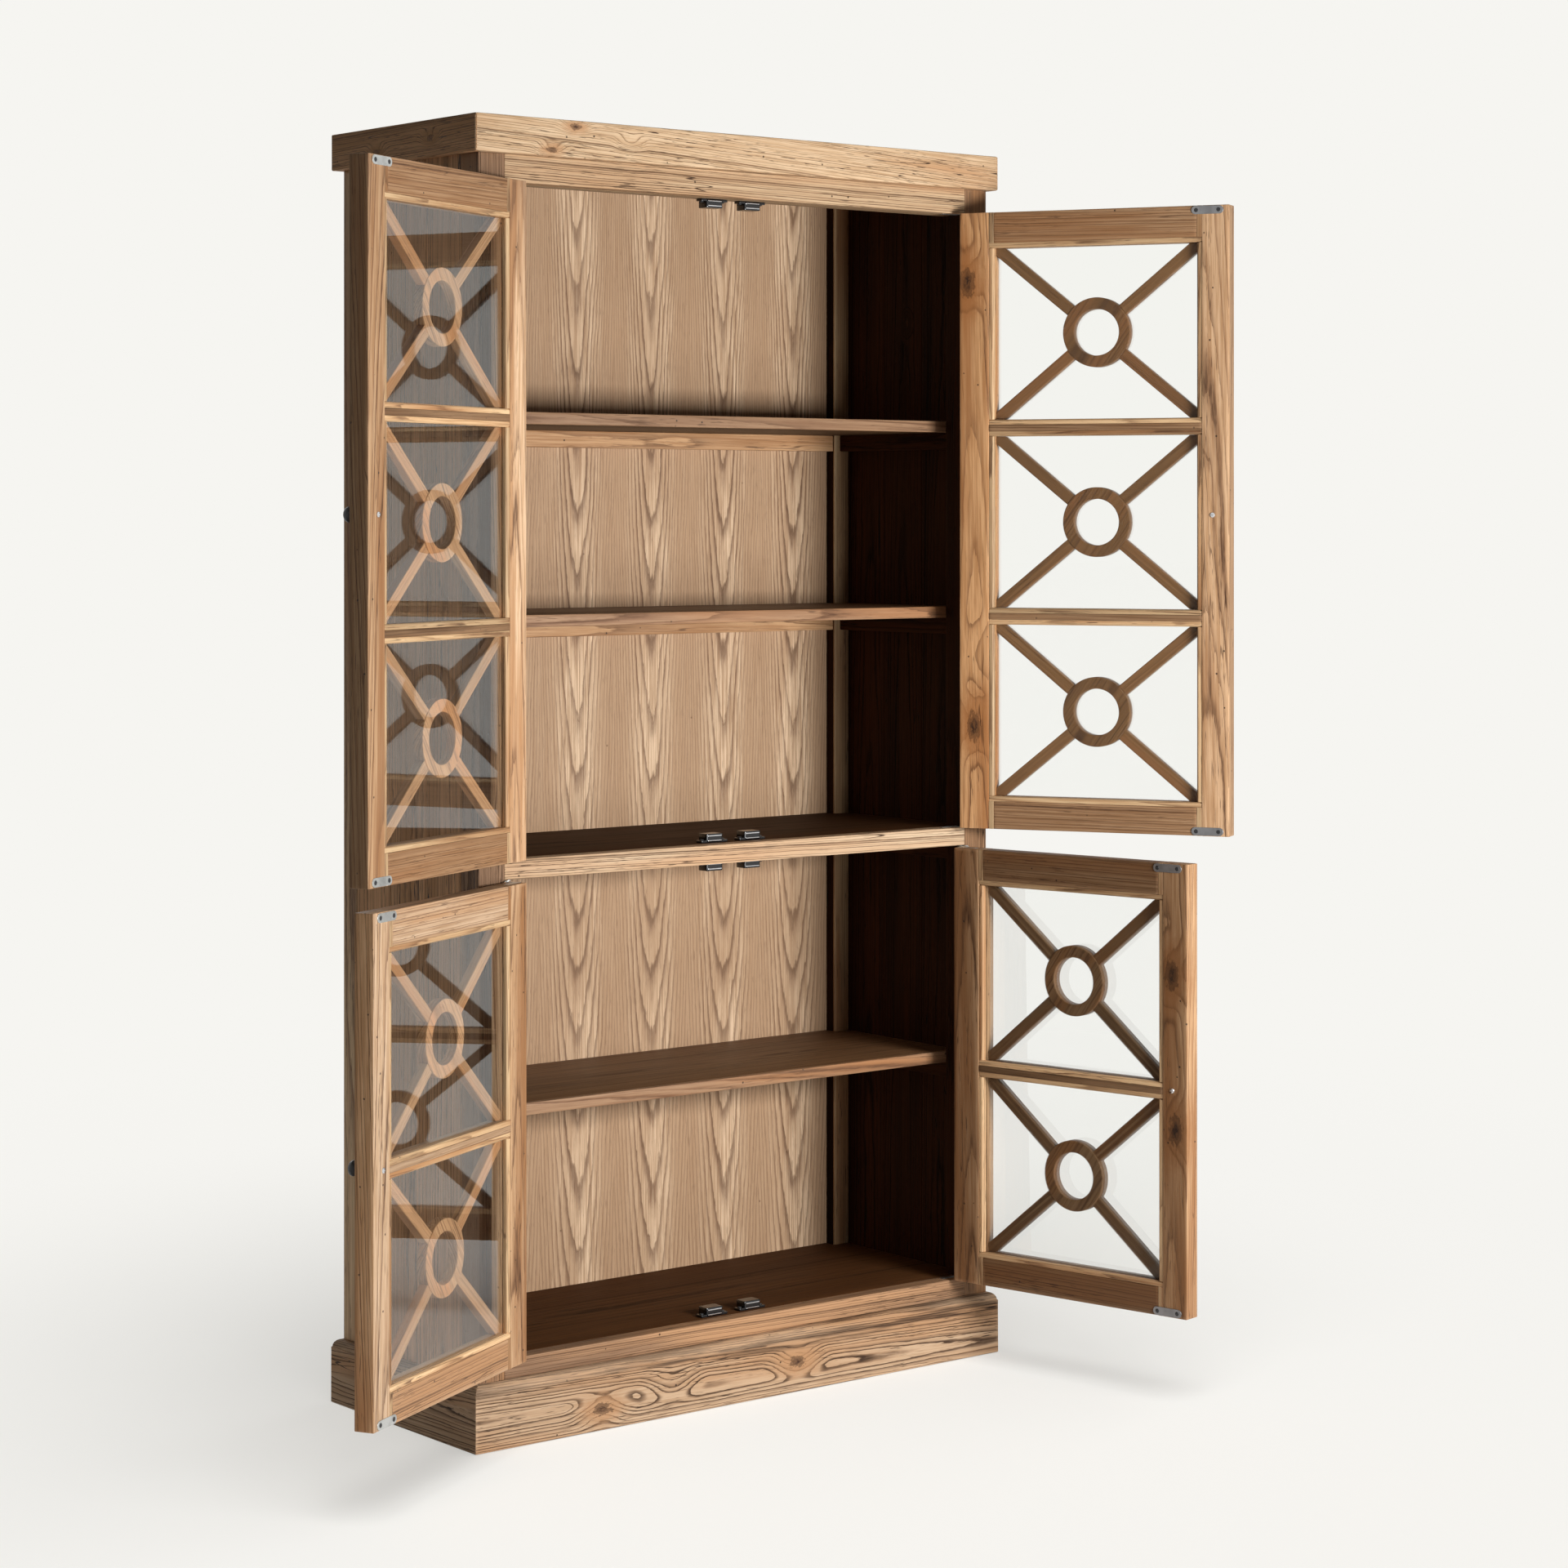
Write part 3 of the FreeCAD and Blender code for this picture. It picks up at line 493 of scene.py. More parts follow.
# Turns a gathered part into an object that rides on its body and stands for its CAD nodes.
def makePiece(name, part, material, body, nodes=(), place=None, hand=1, angle=32):
    mesh = bpy.data.meshes.new(name)
    flip = Matrix.Diagonal((hand, 1, 1)).to_3x3()
    spots = [flip @ Vector(c) for c in part["corners"]]
    mesh.from_pydata([place @ c for c in spots] if place else spots, [], part["faces"])
    for key in ("grain", *knotKeys, *numberKeys):
        if part[key] and key in numberKeys:
            mesh.attributes.new(key, "FLOAT", "POINT").data.foreach_set("value", part[key])
        elif part[key]:
            flatValues = [n for v in part[key] for n in v]
            mesh.attributes.new(key, "FLOAT_VECTOR", "POINT").data.foreach_set("vector", flatValues)
    shell = bmesh.new()
    shell.from_mesh(mesh)
    bmesh.ops.recalc_face_normals(shell, faces=shell.faces[:])
    shell.to_mesh(mesh)
    shell.free()
    mesh.shade_smooth()
    mesh.set_sharp_from_angle(angle=math.radians(angle))
    mesh.materials.append(material)
    piece = bpy.data.objects.new(name, mesh)
    bpy.context.scene.collection.objects.link(piece)
    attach(piece, body)
    if nodes:
        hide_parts(*nodes)
    return piece


wood = {name: woodMaterial(name, look) for name, look in {
    "crownElm": crownElm, "plinthElm": plinthElm, "postElm": postElm, "sideElm": sideElm,
    "insideShadeElm": insideShadeElm, "doorElm": doorElm, "railElm": railElm, "fretElm": fretElm, "beadElm": beadElm,
    "shelfElm": shelfElm, "edgeElm": edgeElm, "floorElm": floorElm, "fretShadeElm": fretShadeElm,
    "headerElm": headerElm, "bottomElm": bottomElm}.items()}
wood["veneer"] = veneerMaterial(veneer)
print("timber materials made")


def carcassPiece(name, part, finish, node):
    makePiece(name, part, wood[finish], "carcass", [node])


crownLow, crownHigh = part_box("crown_front_edging")
topLow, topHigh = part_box("crown_top_panel")
plinthLow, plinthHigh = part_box("plinth_front_board")
postLow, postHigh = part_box("front_left_post")
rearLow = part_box("rear_left_post")[0]
halfWidth, halfDepth = crownHigh.x, -crownLow.y
halfOpening, halfBody = -postHigh.x, -postLow.x

crown = {"rebate": 0.010, "boards": {"arris": 0.0022, "step": 0.05, "waver": 0.0006},
         "front": {"log": (3.1, 0.075, 0.06), "tone": 0.55, "tilt": 0.035,
                   "knots": [(0.146, 0.010, 0), (0.192, 0.050, 0), (0.30, 0.030, 0)]},
         "sides": {"tone": 1.15, "tilt": 0.02, "knots": [(0.13, 0.03, 0), (0.29, 0.02, 0)]},
         "sideLog": (7.3, 0.06, 0.05), "top": {"tone": 0.5, "tilt": 0.03}}


# A mitred end stops short by as much as the board is deep there.
def mitreStart(rise, depth):
    return depth


def mitres(length):
    return {"start": mitreStart, "end": lambda rise, depth: length - depth}


def crownSection():
    tall, deep = crownHigh.z - crownLow.z, crownHigh.y - crownLow.y
    ledge, inner = topLow.z - crownLow.z, deep - crown["rebate"]
    return [(0, 0), (0, deep), (ledge, deep), (ledge, inner), (tall, inner), (tall, 0)]


def makeCrown():
    section, width = crownSection(), 2 * halfWidth
    part = newPart()
    addBoard(part, crownLow, (right, up, back), width, section, **mitres(width), **crown["boards"],
             **crown["front"])
    carcassPiece("crown_front", part, "crownElm", "crown_front_edging")
    part = newPart()
    for side, inward in ((-1, right), (1, -right)):
        origin = Vector((side * halfWidth, crownLow.y, crownLow.z))
        addBoard(part, origin, (back, up, inward), 2 * halfDepth, section, start=mitreStart,
                 log=Vector(crown["sideLog"]) + side * right, **crown["boards"], **crown["sides"])
    carcassPiece("crown_sides", part, "sideElm", "crown_side_edgings")
    part = newPart()
    fillBox(part, topLow, topHigh, (right, back, up), **crown["top"])
    carcassPiece("crown_top", part, "crownElm", "crown_top_panel")


plinth = {"face": 0.092, "quirk": 0.0015, "fillet": 0.001, "round": 0.012, "roundPoints": 5, "arris": 0.0007,
          "front": {"log": (11.7, 0.026, 0.019), "tone": 0.29, "tilt": 0.02, "step": 0.05, "waver": 0.0005,
                    "knots": [(0.243, 0.034, 0), (0.647, 0.050, 0), (0.385, 0.052, 0)]},
          "back": {"tone": 0.5}, "sides": {"tone": 0.3, "tilt": 0.03, "step": 0.05, "waver": 0.0005},
          "sideLog": (17.7, 0.010, 0.035), "blockWidth": 0.040, "bearerWidth": 0.025}


def plinthSection():
    tall, deep = plinthHigh.z, plinthHigh.y - plinthLow.y
    centre = plinth["quirk"] + plinth["round"]
    shoulder = plinth["face"] + plinth["fillet"]
    curve = []
    for i in range(plinth["roundPoints"] + 1):
        turn = math.radians(90 + 90 * i / plinth["roundPoints"])
        curve.append((shoulder + plinth["round"] * math.sin(turn), centre + plinth["round"] * math.cos(turn)))
    return [(0, 0), (0, deep), (tall, deep)] + curve + [(plinth["face"], plinth["quirk"]), (plinth["face"], 0)]


def makePlinth():
    section, arris = plinthSection(), plinth["arris"]
    width, long = 2 * halfWidth, 2 * halfDepth
    part = newPart()
    addBoard(part, plinthLow, (right, up, back), width, section, arris=arris, **mitres(width),
             **plinth["front"])
    carcassPiece("plinth_front", part, "plinthElm", "plinth_front_board")
    part = newPart()
    addBoard(part, Vector((halfWidth, halfDepth, 0)), (-right, up, -back), width, section, arris=arris,
             **mitres(width), **plinth["back"])
    carcassPiece("plinth_back", part, "plinthElm", "plinth_back_board")
    part = newPart()
    for side, inward in ((-1, right), (1, -right)):
        addBoard(part, Vector((side * halfWidth, -halfDepth, 0)), (back, up, inward), long, section,
                 arris=arris, log=Vector(plinth["sideLog"]) + side * right, **mitres(long), **plinth["sides"])
    carcassPiece("plinth_sides", part, "plinthElm", "plinth_side_boards")
    part = newPart()
    thick = plinthHigh.y - plinthLow.y
    inX, inY = halfWidth - thick, halfDepth - thick
    block = box2d(0, plinth["blockWidth"], 0, plinth["blockWidth"])
    for sx in (-1, 1):
        for sy in (-1, 1):
            addBoard(part, Vector((sx * inX, sy * inY, 0)), (up, -sx * right, -sy * back), plinthHigh.z, block)
    wide = plinth["bearerWidth"]
    addBoard(part, Vector((-wide / 2, -inY, 0)), (back, up, right), 2 * inY, box2d(0, plinthHigh.z, 0, wide))
    carcassPiece("plinth_blocks", part, "beadElm", "plinth_bearers")


body = {"railDepth": 0.030, "sideThickness": 0.018, "shadeSkin": 0.006, "brow": 0.004, "sideBoards": 3,
        "boardGap": 0.0006, "backRailHeight": 0.070, "topStripWidth": 0.940, "railLog": (21.3, 0.055, 0.045),
        "posts": [("post_front_left", "front_left_post", "postElm", 0.04, -0.35),  # finish, tone, hue
                  ("post_front_right", "front_right_post", "postElm", 0.17, -0.75),
                  ("post_rear_left", "rear_left_post", "beadElm", 0.5, 0),
                  ("post_rear_right", "rear_right_post", "beadElm", 0.05, -0.2)],
        "rails": [("header", "header_rail", "headerElm", 0.45, 0.2),
                  ("rail_middle", "mid_rail", "headerElm", 0.57, 0.85),
                  ("rail_bottom", "bottom_rail", "bottomElm", 0.48, 0.2)], "hiddenRailTone": 0.2,
        "post": {"waver": 0.0003, "tilt": 0.004}, "postArris": 0.0012, "skinArris": 0.0006,
        "rail": {"waver": 0.0005, "tilt": 0.008, "step": 0.05},
        "side": {"tilt": 0.006}, "inside": {"tilt": 0.006, "arris": 0.0008},
        "sideTones": (1.05, 0.1), "insideTones": (0.3, 0.15),  # the first board's tone, the change to the next
        "insideKnot": (1.71, 0.04, 0.006), "back": {"arris": 0.0004, "tone": 0.5, "waver": 0, "tilt": 0}}


# Each post has a near-black skin on the cheek that faces the opening: painted shade for that cheek.
def makePosts():
    skin, brow = body["shadeSkin"], body["brow"]
    for name, node, finish, tone, hue in body["posts"]:
        low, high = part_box(node)
        wide, deep, tall = high - low
        outside, inward = (low.x, right) if low.x < 0 else (high.x, -right)
        core = [(0, 0), (wide, 0), (wide, brow), (wide - skin, brow), (wide - skin, deep), (0, deep)]
        cheek = box2d(wide - skin, wide, brow, deep)
        for ending, section, timberName, arris in (("", core, finish, body["postArris"]),
                                                   ("_inside", cheek, "insideShadeElm", body["skinArris"])):
            part = newPart()
            addBoard(part, Vector((outside, low.y, low.z)), (up, inward, back), tall, section, arris=arris,
                     cut="rift", tone=tone, hue=hue, **body["post"])
            carcassPiece(name + ending, part, timberName, node)


def makeRails():
    axes, deep = (right, up, back), body["railDepth"]
    for name, node, finish, tone, hue in body["rails"]:
        low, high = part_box(node)
        low.x, high.x = -halfOpening, halfOpening
        behind = Vector((low.x, low.y + deep, low.z))
        part = newPart()
        fillBox(part, low, Vector((high.x, behind.y, high.z)), axes, tone=tone, hue=hue,
                log=Vector(body["railLog"]) + low.z * right, **body["rail"])
        if high.y - behind.y > body["boardGap"]:
            fillBox(part, behind, high, axes, tone=body["hiddenRailTone"])
        carcassPiece(name, part, finish, node)
    part = newPart()
    low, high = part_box("back_rails")
    middleLow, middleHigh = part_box("mid_rail")
    tall, strip = body["backRailHeight"], body["topStripWidth"]
    for z in (low.z, (middleLow.z + middleHigh.z - tall) / 2, postHigh.z - tall):
        fillBox(part, Vector((low.x, low.y, z)), Vector((high.x, high.y, z + tall)), axes)
    fillBox(part, Vector((-strip / 2, low.y, postHigh.z)), Vector((strip / 2, high.y, high.z)), axes)
    carcassPiece("rails_back", part, "shelfElm", "back_rails")


def makeSides():
    skin = body["sideThickness"] - body["shadeSkin"]
    deep = rearLow.y - postHigh.y
    wide = deep / body["sideBoards"]
    for side, name, node in ((-1, "side_left", "left_side_panel"), (1, "side_right", "right_side_panel")):
        part, inside = newPart(), newPart()
        low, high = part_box(node)
        axes, tall = (up, back, -side * right), high.z - low.z
        for i in range(body["sideBoards"]):
            start, seen = postHigh.y + i * wide, wide - body["boardGap"]
            outTone, inTone = (first + step * i for first, step in (body["sideTones"], body["insideTones"]))
            addBoard(part, Vector((side * halfBody, start, low.z)), axes, tall, box2d(0, seen, 0, skin),
                     tone=outTone, **body["side"])
            # Each side's inner skin is painted shade.
            addBoard(inside, Vector((side * (halfBody - skin), start, low.z)), axes, tall,
                     box2d(0, seen, 0, body["shadeSkin"]), tone=inTone,
                     knots=[body["insideKnot"]] if i == 1 else (), **body["inside"])
        carcassPiece(name, part, "sideElm", node)
        carcassPiece(name + "_inside", inside, "insideShadeElm", node)


def makeBack():
    part = newPart()
    fillBox(part, *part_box("back_panel"), (up, right, back), log=(0, 0, 0), **body["back"])
    carcassPiece("back_board", part, "veneer", "back_panel")


shelf = {"lipping": 0.012, "lippingArris": 0.0015, "lippingTone": 0.62, "ceilingTone": 0.3,
         "plates": [("board_divider", "divider_board", 0.35), ("board_floor", "floor_board", 1.25),
                    ("shelf_top", "top_shelf", 0.42), ("shelf_middle", "middle_shelf", 0.66),
                    ("shelf_lower", "lower_shelf", 1.3)],
         "cleatWidth": 0.019, "cleatHeight": 0.029, "backCleat": {"tone": 0.36, "hue": -0.3},
         "sideCleatTone": 0.8}


# A board that starts in front of the posts is notched round them as well as round the rear posts.
def notchedOutline(node, lip):
    low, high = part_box(node)
    front, wide = low.y + lip, high.x
    outline = [(wide, rearLow.y), (halfOpening, rearLow.y), (halfOpening, high.y), (-halfOpening, high.y),
               (-halfOpening, rearLow.y), (-wide, rearLow.y)]
    if front < postHigh.y:
        return [(-halfOpening, front), (halfOpening, front), (halfOpening, postHigh.y), (wide, postHigh.y),
                *outline, (-wide, postHigh.y), (-halfOpening, postHigh.y)]
    return [(-wide, front), (wide, front), *outline]


def makeShelves():
    part = newPart()
    fillBox(part, *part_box("ceiling_board"), (right, back, up), tone=shelf["ceilingTone"])
    carcassPiece("board_ceiling", part, "shelfElm", "ceiling_board")
    for name, node, tone in shelf["plates"]:
        low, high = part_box(node)
        part = newPart()
        lip = shelf["lipping"] if low.y > postHigh.y else 0
        addPlate(part, notchedOutline(node, lip), low.z, high.z, tone=tone)
        carcassPiece(name, part, "shelfElm" if lip else "floorElm", node)
        if lip:
            part = newPart()
            fillBox(part, low, Vector((high.x, low.y + lip, high.z)), (right, up, back),
                    arris=shelf["lippingArris"], tone=min(tone, shelf["lippingTone"]))
            carcassPiece(name + "_edge", part, "edgeElm", node)
    part, inside = newPart(), newPart()
    wide, tall = shelf["cleatWidth"], shelf["cleatHeight"]
    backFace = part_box("back_panel")[0].y
    cleat = box2d(0, tall, 0, wide)
    for node in ("top_shelf", "middle_shelf", "lower_shelf", "divider_board"):
        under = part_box(node)[0].z - tall
        addBoard(part, Vector((-halfOpening, backFace - wide, under)), (right, up, back), 2 * halfOpening,
                 cleat, **shelf["backCleat"])
        for side in (-1, 1):
            addBoard(inside, Vector((side * (halfBody - body["sideThickness"]), postHigh.y, under)),
                     (back, up, -side * right), rearLow.y - postHigh.y, cleat, tone=shelf["sideCleatTone"])
    # The side cleats are painted shade like the inner skins.
    carcassPiece("cleats_side", inside, "insideShadeElm", "shelf_cleats")
    carcassPiece("cleats_back", part, "doorElm", "shelf_cleats")


makeCrown()
makePlinth()
makePosts()
makeRails()
makeSides()
makeBack()
makeShelves()
print("body made")

metal = {"cloudScale": (45.0,) * 3, "cloudSpan": (0.35, 0.75, 0.0, 0.6), "dark": 0.55,
         "dustScale": (600.0,) * 3, "dustSpan": (0.3, 0.7), "smoothest": 0.8, "roughest": 1.3, "detail": 3.0,
         "bumpDistance": 0.0002}


def metalMaterial(name, colour, rough, metallic=1.0, bump=0.05):
    material, tree = newMaterial(name)
    where = addNode(tree, "TexCoord").outputs["Object"]
    dust = cloudy(tree, where, metal["dustScale"], metal["detail"])
    cloud = cloudy(tree, where, metal["cloudScale"], metal["detail"])
    dark = tuple(c * metal["dark"] for c in colour)
    paint = blended(tree, ranged(tree, cloud, *metal["cloudSpan"]), colour, dark)
    worn = ranged(tree, dust, *metal["dustSpan"], rough * metal["smoothest"], rough * metal["roughest"])
    wires = {"Base Color": paint, "Metallic": metallic, "Roughness": worn}
    return finishMaterial(material, tree, wires, (dust, bump, metal["bumpDistance"]))


zinc = metalMaterial("zincPlate", (0.60, 0.62, 0.62), 0.34)
steel = metalMaterial("dullSteel", (0.26, 0.26, 0.27), 0.38)
chrome = metalMaterial("brightSteel", (0.72, 0.72, 0.74), 0.16)
blackIron = metalMaterial("blackIron", (0.018, 0.018, 0.02), 0.42, metallic=0.0, bump=0.2)
blackPlastic = metalMaterial("blackPlastic", (0.012, 0.012, 0.013), 0.2, metallic=0.0, bump=0.02)


# Light passes straight through for shadows. A clean pane also lets most of the view through unbent.
def glassMaterial(name, gloss, clean, colour=(0.985, 0.99, 0.985)):
    material, tree = newMaterial(name)
    ray = addNode(tree, "LightPath")
    shader = addNode(tree, "BsdfPrincipled", {"Base Color": colour, "Roughness": 0.0, "IOR": 1.5,
                                              "Transmission Weight": 1.0, "Specular IOR Level": gloss})
    clear = addNode(tree, "BsdfTransparent", {"Color": colour})
    passes = sums(tree, "MAXIMUM", ray.outputs["Is Shadow Ray"], ray.outputs["Is Diffuse Ray"])
    if clean:
        passes = sums(tree, "MAXIMUM", passes, clean)
    mixed = addNode(tree, "MixShader", {0: passes, 1: shader.outputs[0], 2: clear.outputs[0]})
    addNode(tree, "OutputMaterial", {0: mixed.outputs[0]})
    return material


glass = glassMaterial("clearGlass", 0.5, 0)
cleanGlass = glassMaterial("cleanGlass", 0.2, 0.85)

door = {"thickness": 0.032, "hingeStile": 0.062, "freeStile": 0.057, "topRail": 0.062, "footRail": 0.057,
        "muntin": 0.029, "rebate": 0.009, "lip": 0.019, "width": 0.481, "hingeGap": 0.002, "arris": 0.0011,
        "stileTilt": 0.02, "railTilt": 0.01, "footTone": -0.1}  # footTone: how much darker the foot rail is
leaves = [{"name": "upper_left", "hand": 1, "panes": 3, "swing": 153.0, "knobRise": 0.5435,
           "hingeTone": 0.85, "hingeHue": 1.1, "freeTone": 0.26, "freeHue": 0.15, "edgeLightShade": -0.22,
           "railTone": 0.38, "railHue": 0, "muntinTone": -0.25, "fretTone": 0.85, "ringTone": 0.95,
           "fretLook": "fretElm", "knots": [], "freeKnots": []},
          # The upper right door's low fret and ring tones and its darker fretwork are painted shade.
          {"name": "upper_right", "hand": -1, "panes": 3, "swing": 119.3, "knobRise": 0.5435,
           "hingeTone": 0.66, "hingeHue": -0.6, "freeTone": 0.56, "freeHue": 0.45, "edgeLightShade": -0.46,
           "railTone": 0.42, "railHue": 0.2, "muntinTone": 0.08, "fretTone": 0.2, "ringTone": 0.06,
           "fretLook": "fretShadeElm", "freeKnots": [],
           "knots": [(0.947, 0.014, 0.032), (0.177, 0.026, 0.032), (0.299, 0.040, 0.032)]},
          {"name": "lower_left", "hand": 1, "panes": 2, "swing": 152.0, "knobRise": 0.3765,
           "hingeTone": 0.35, "hingeHue": 0.4, "freeTone": 0.48, "freeHue": 1.3, "edgeLightShade": 0.5,
           "railTone": 0.91, "railHue": 1.6, "muntinTone": 0.56, "fretTone": 0.8, "ringTone": 0.9,
           "fretLook": "fretElm", "knots": [], "freeKnots": []},
          # The lower right door's low tones are painted shade: it stands almost edge-on to the lamps, so its
          # stiles, rails, muntins and fretwork are darkened.
          {"name": "lower_right", "hand": -1, "panes": 2, "swing": 101.6, "knobRise": 0.3765,
           "hingeTone": 0.02, "hingeHue": -0.1, "freeTone": 0.04, "freeHue": -0.25, "edgeLightShade": 0.24,
           "railTone": -0.06, "railHue": 0, "muntinTone": -0.30, "fretTone": -0.15, "ringTone": -0.06,
           "fretLook": "fretElm", "knots": [], "freeKnots": [(0.568, 0.028, 0.032), (0.310, 0.035, 0.032)]}]
sightLeft, sightRight = door["hingeStile"], door["width"] - door["freeStile"]
sightWidth = sightRight - sightLeft


# A door is made as a left one, shut, then mirrored for the right, hung and swung to where it stands.
def doorPlace(leaf):
    low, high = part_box(leaf["name"] + "_stiles")
    joint = next(j for j in frame["joints"] if j["name"] == leaf["name"] + "_hinge")
    pivot = Vector(joint["pos_m"])
    pivot.z = 0
    hung = Matrix.Translation((-leaf["hand"] * (halfOpening - door["hingeGap"]), postLow.y, low.z))
    swing = Matrix.Rotation(-leaf["hand"] * math.radians(leaf["swing"]), 4, "Z")
    return Matrix.Translation(pivot) @ swing @ Matrix.Translation(-pivot) @ hung


def doorPiece(leaf, ending, part, material, nodeEnding=None):
    name = leaf["name"]
    nodes = [name + nodeEnding] if nodeEnding else ()
    return makePiece(name + ending, part, material, name + "_door", nodes, doorPlace(leaf), leaf["hand"])


def doorHeight(leaf):
    low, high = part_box(leaf["name"] + "_stiles")
    return high.z - low.z


# The lowest and highest line of each glazed opening.
def sights(leaf):
    height, count = doorHeight(leaf), leaf["panes"]
    tall = (height - door["topRail"] - door["footRail"] - (count - 1) * door["muntin"]) / count
    step = tall + door["muntin"]
    return [(door["footRail"] + i * step, door["footRail"] + i * step + tall) for i in range(count)]


# The section of a stile or rail, with the glazing rebate on its far or its near side.
def rebated(wide, farRebate):
    lip, deep, rebate = door["lip"], door["thickness"], door["rebate"]
    if farRebate:
        return [(0, 0), (wide, 0), (wide, lip), (wide - rebate, lip), (wide - rebate, deep), (0, deep)]
    return [(0, 0), (wide, 0), (wide, deep), (rebate, deep), (rebate, lip), (0, lip)]


def makeStiles(leaf):
    part, height, axes = newPart(), doorHeight(leaf), (up, right, back)
    addBoard(part, Vector((0, 0, 0)), axes, height, rebated(door["hingeStile"], True), arris=door["arris"],
             knots=leaf["knots"], tone=leaf["hingeTone"], hue=leaf["hingeHue"], tilt=door["stileTilt"])
    # The free stile's edge face carries painted light and shade in its own tone.
    addBoard(part, Vector((sightRight, 0, 0)), axes, height, rebated(door["freeStile"], False),
             arris=door["arris"], knots=leaf["freeKnots"], tone=leaf["freeTone"], edgeLightShade=leaf["edgeLightShade"],
             hue=leaf["freeHue"], tilt=door["stileTilt"])
    doorPiece(leaf, "_door_stiles", part, wood["doorElm"], "_stiles")


def makeDoorRails(leaf):
    lip, deep, rebate, muntin = door["lip"], door["thickness"], door["rebate"], door["muntin"]
    part, hue, axes = newPart(), leaf["railHue"], (right, up, back)
    shared = {"arris": door["arris"], "hue": hue, "tilt": door["railTilt"], "cut": "rift"}
    addBoard(part, Vector((sightLeft, 0, 0)), axes, sightWidth, rebated(door["footRail"], True),
             tone=leaf["railTone"] + door["footTone"], **shared)
    addBoard(part, Vector((sightLeft, 0, doorHeight(leaf) - door["topRail"])), axes, sightWidth,
             rebated(door["topRail"], False), tone=leaf["railTone"], **shared)
    for low, high in sights(leaf)[:-1]:
        shared = {"log": logPlace("rift"), "tone": leaf["muntinTone"], "hue": hue}
        addBoard(part, Vector((sightLeft, 0, high)), axes, sightWidth, box2d(0, muntin, 0, lip), **shared)
        addBoard(part, Vector((sightLeft - rebate, lip, high + rebate)), axes, sightWidth + 2 * rebate,
                 box2d(0, muntin - 2 * rebate, 0, deep - lip), **shared)
    doorPiece(leaf, "_door_rails", part, wood["railElm"], "_rails")


fret = {"barWidth": 0.020, "barFront": 0.002, "barBack": 0.017, "barArris": 0.0008, "band": 0.003,
        "ringOuter": 0.060, "ringBore": 0.040, "ringFront": 0.001, "ringBack": 0.018, "ringArris": 0.001,
        "ringSegments": 72, "grainTurn": math.radians(55), "darker": -0.15, "lighter": 0.1}


def makeFretwork(leaf):
    part = newPart()
    for low, high in sights(leaf):
        halfWide, halfTall = sightWidth / 2, (high - low) / 2
        middle = Vector((sightLeft + halfWide, 0, low + halfTall))
        for sx in (-1, 1):
            for sz in (-1, 1):
                tone = leaf["fretTone"] + dice.uniform(fret["darker"], fret["lighter"])
                addBar(part, middle, halfWide, halfTall, sx, sz, tone)
        addRing(part, middle, leaf["ringTone"])
    doorPiece(leaf, "_door_fretwork", part, wood[leaf["fretLook"]], "_fretwork")


# A bar runs from the ring out to a corner of the opening, and is cut to both.
def addBar(part, middle, halfWide, halfTall, sx, sz, tone):
    slope = math.atan2(halfTall, halfWide)
    sine, cosine = math.sin(slope), math.cos(slope)
    axes = (Vector((sx * cosine, 0, sz * sine)), Vector((-sx * sine, 0, sz * cosine)), back)
    half, front, rear = fret["barWidth"] / 2, fret["barFront"], fret["barBack"]
    section = [(-half, front), (0, front), (half, front), (half, rear), (0, rear), (-half, rear)]
    ringEdge = lambda a, d: math.sqrt(fret["ringOuter"] ** 2 - a * a)
    cornerEnd = lambda a, d: min((halfWide + a * sine) / cosine, (halfTall - a * cosine) / sine)
    addBoard(part, middle, axes, math.hypot(halfWide, halfTall), section, arris=fret["barArris"],
             band=fret["band"], start=ringEdge, end=cornerEnd, cut="rift", tone=tone)


def addRing(part, middle, tone):
    section = box2d(fret["ringBore"], fret["ringOuter"], fret["ringFront"], fret["ringBack"])
    outline = softOutline(section, fret["ringArris"], fret["band"])
    first, count = len(part["corners"]), fret["ringSegments"]
    log, turn = logPlace("flat"), Matrix.Rotation(fret["grainTurn"], 3, "Y")
    for i in range(count):
        angle = 2 * math.pi * i / count
        for point, isArris in outline:
            spot = Vector((point.x * math.cos(angle), point.y, point.x * math.sin(angle)))
            turned = turn @ spot
            addPoint(part, middle + spot, Vector((turned.x, turned.z, turned.y)) + log, tone, edge=isArris)
    joinRows(part, first, len(outline), count, closeRows=True)


paneSize = {"lap": 0.008, "front": 0.019, "back": 0.022, "arris": 0.0003, "band": 0.002, "step": 0.2}


def makePanes(leaf):
    part, lap = newPart(), paneSize["lap"]
    for low, high in sights(leaf):
        section = box2d(0, high - low + 2 * lap, 0, paneSize["back"] - paneSize["front"])
        addBoard(part, Vector((sightLeft - lap, paneSize["front"], low - lap)), (right, up, back),
                 sightWidth + 2 * lap, section, arris=paneSize["arris"], band=paneSize["band"], waver=0,
                 step=paneSize["step"])
    pane = glass if leaf["hand"] > 0 else cleanGlass
    doorPiece(leaf, "_door_panes", part, pane, "_panes")


beadSize = {"side": 0.009, "front": 0.022, "back": 0.031, "chamfer": 0.0025, "arris": 0.0006, "band": 0.002,
            "tones": (0.2, 0.9), "fillerTone": 0.25}


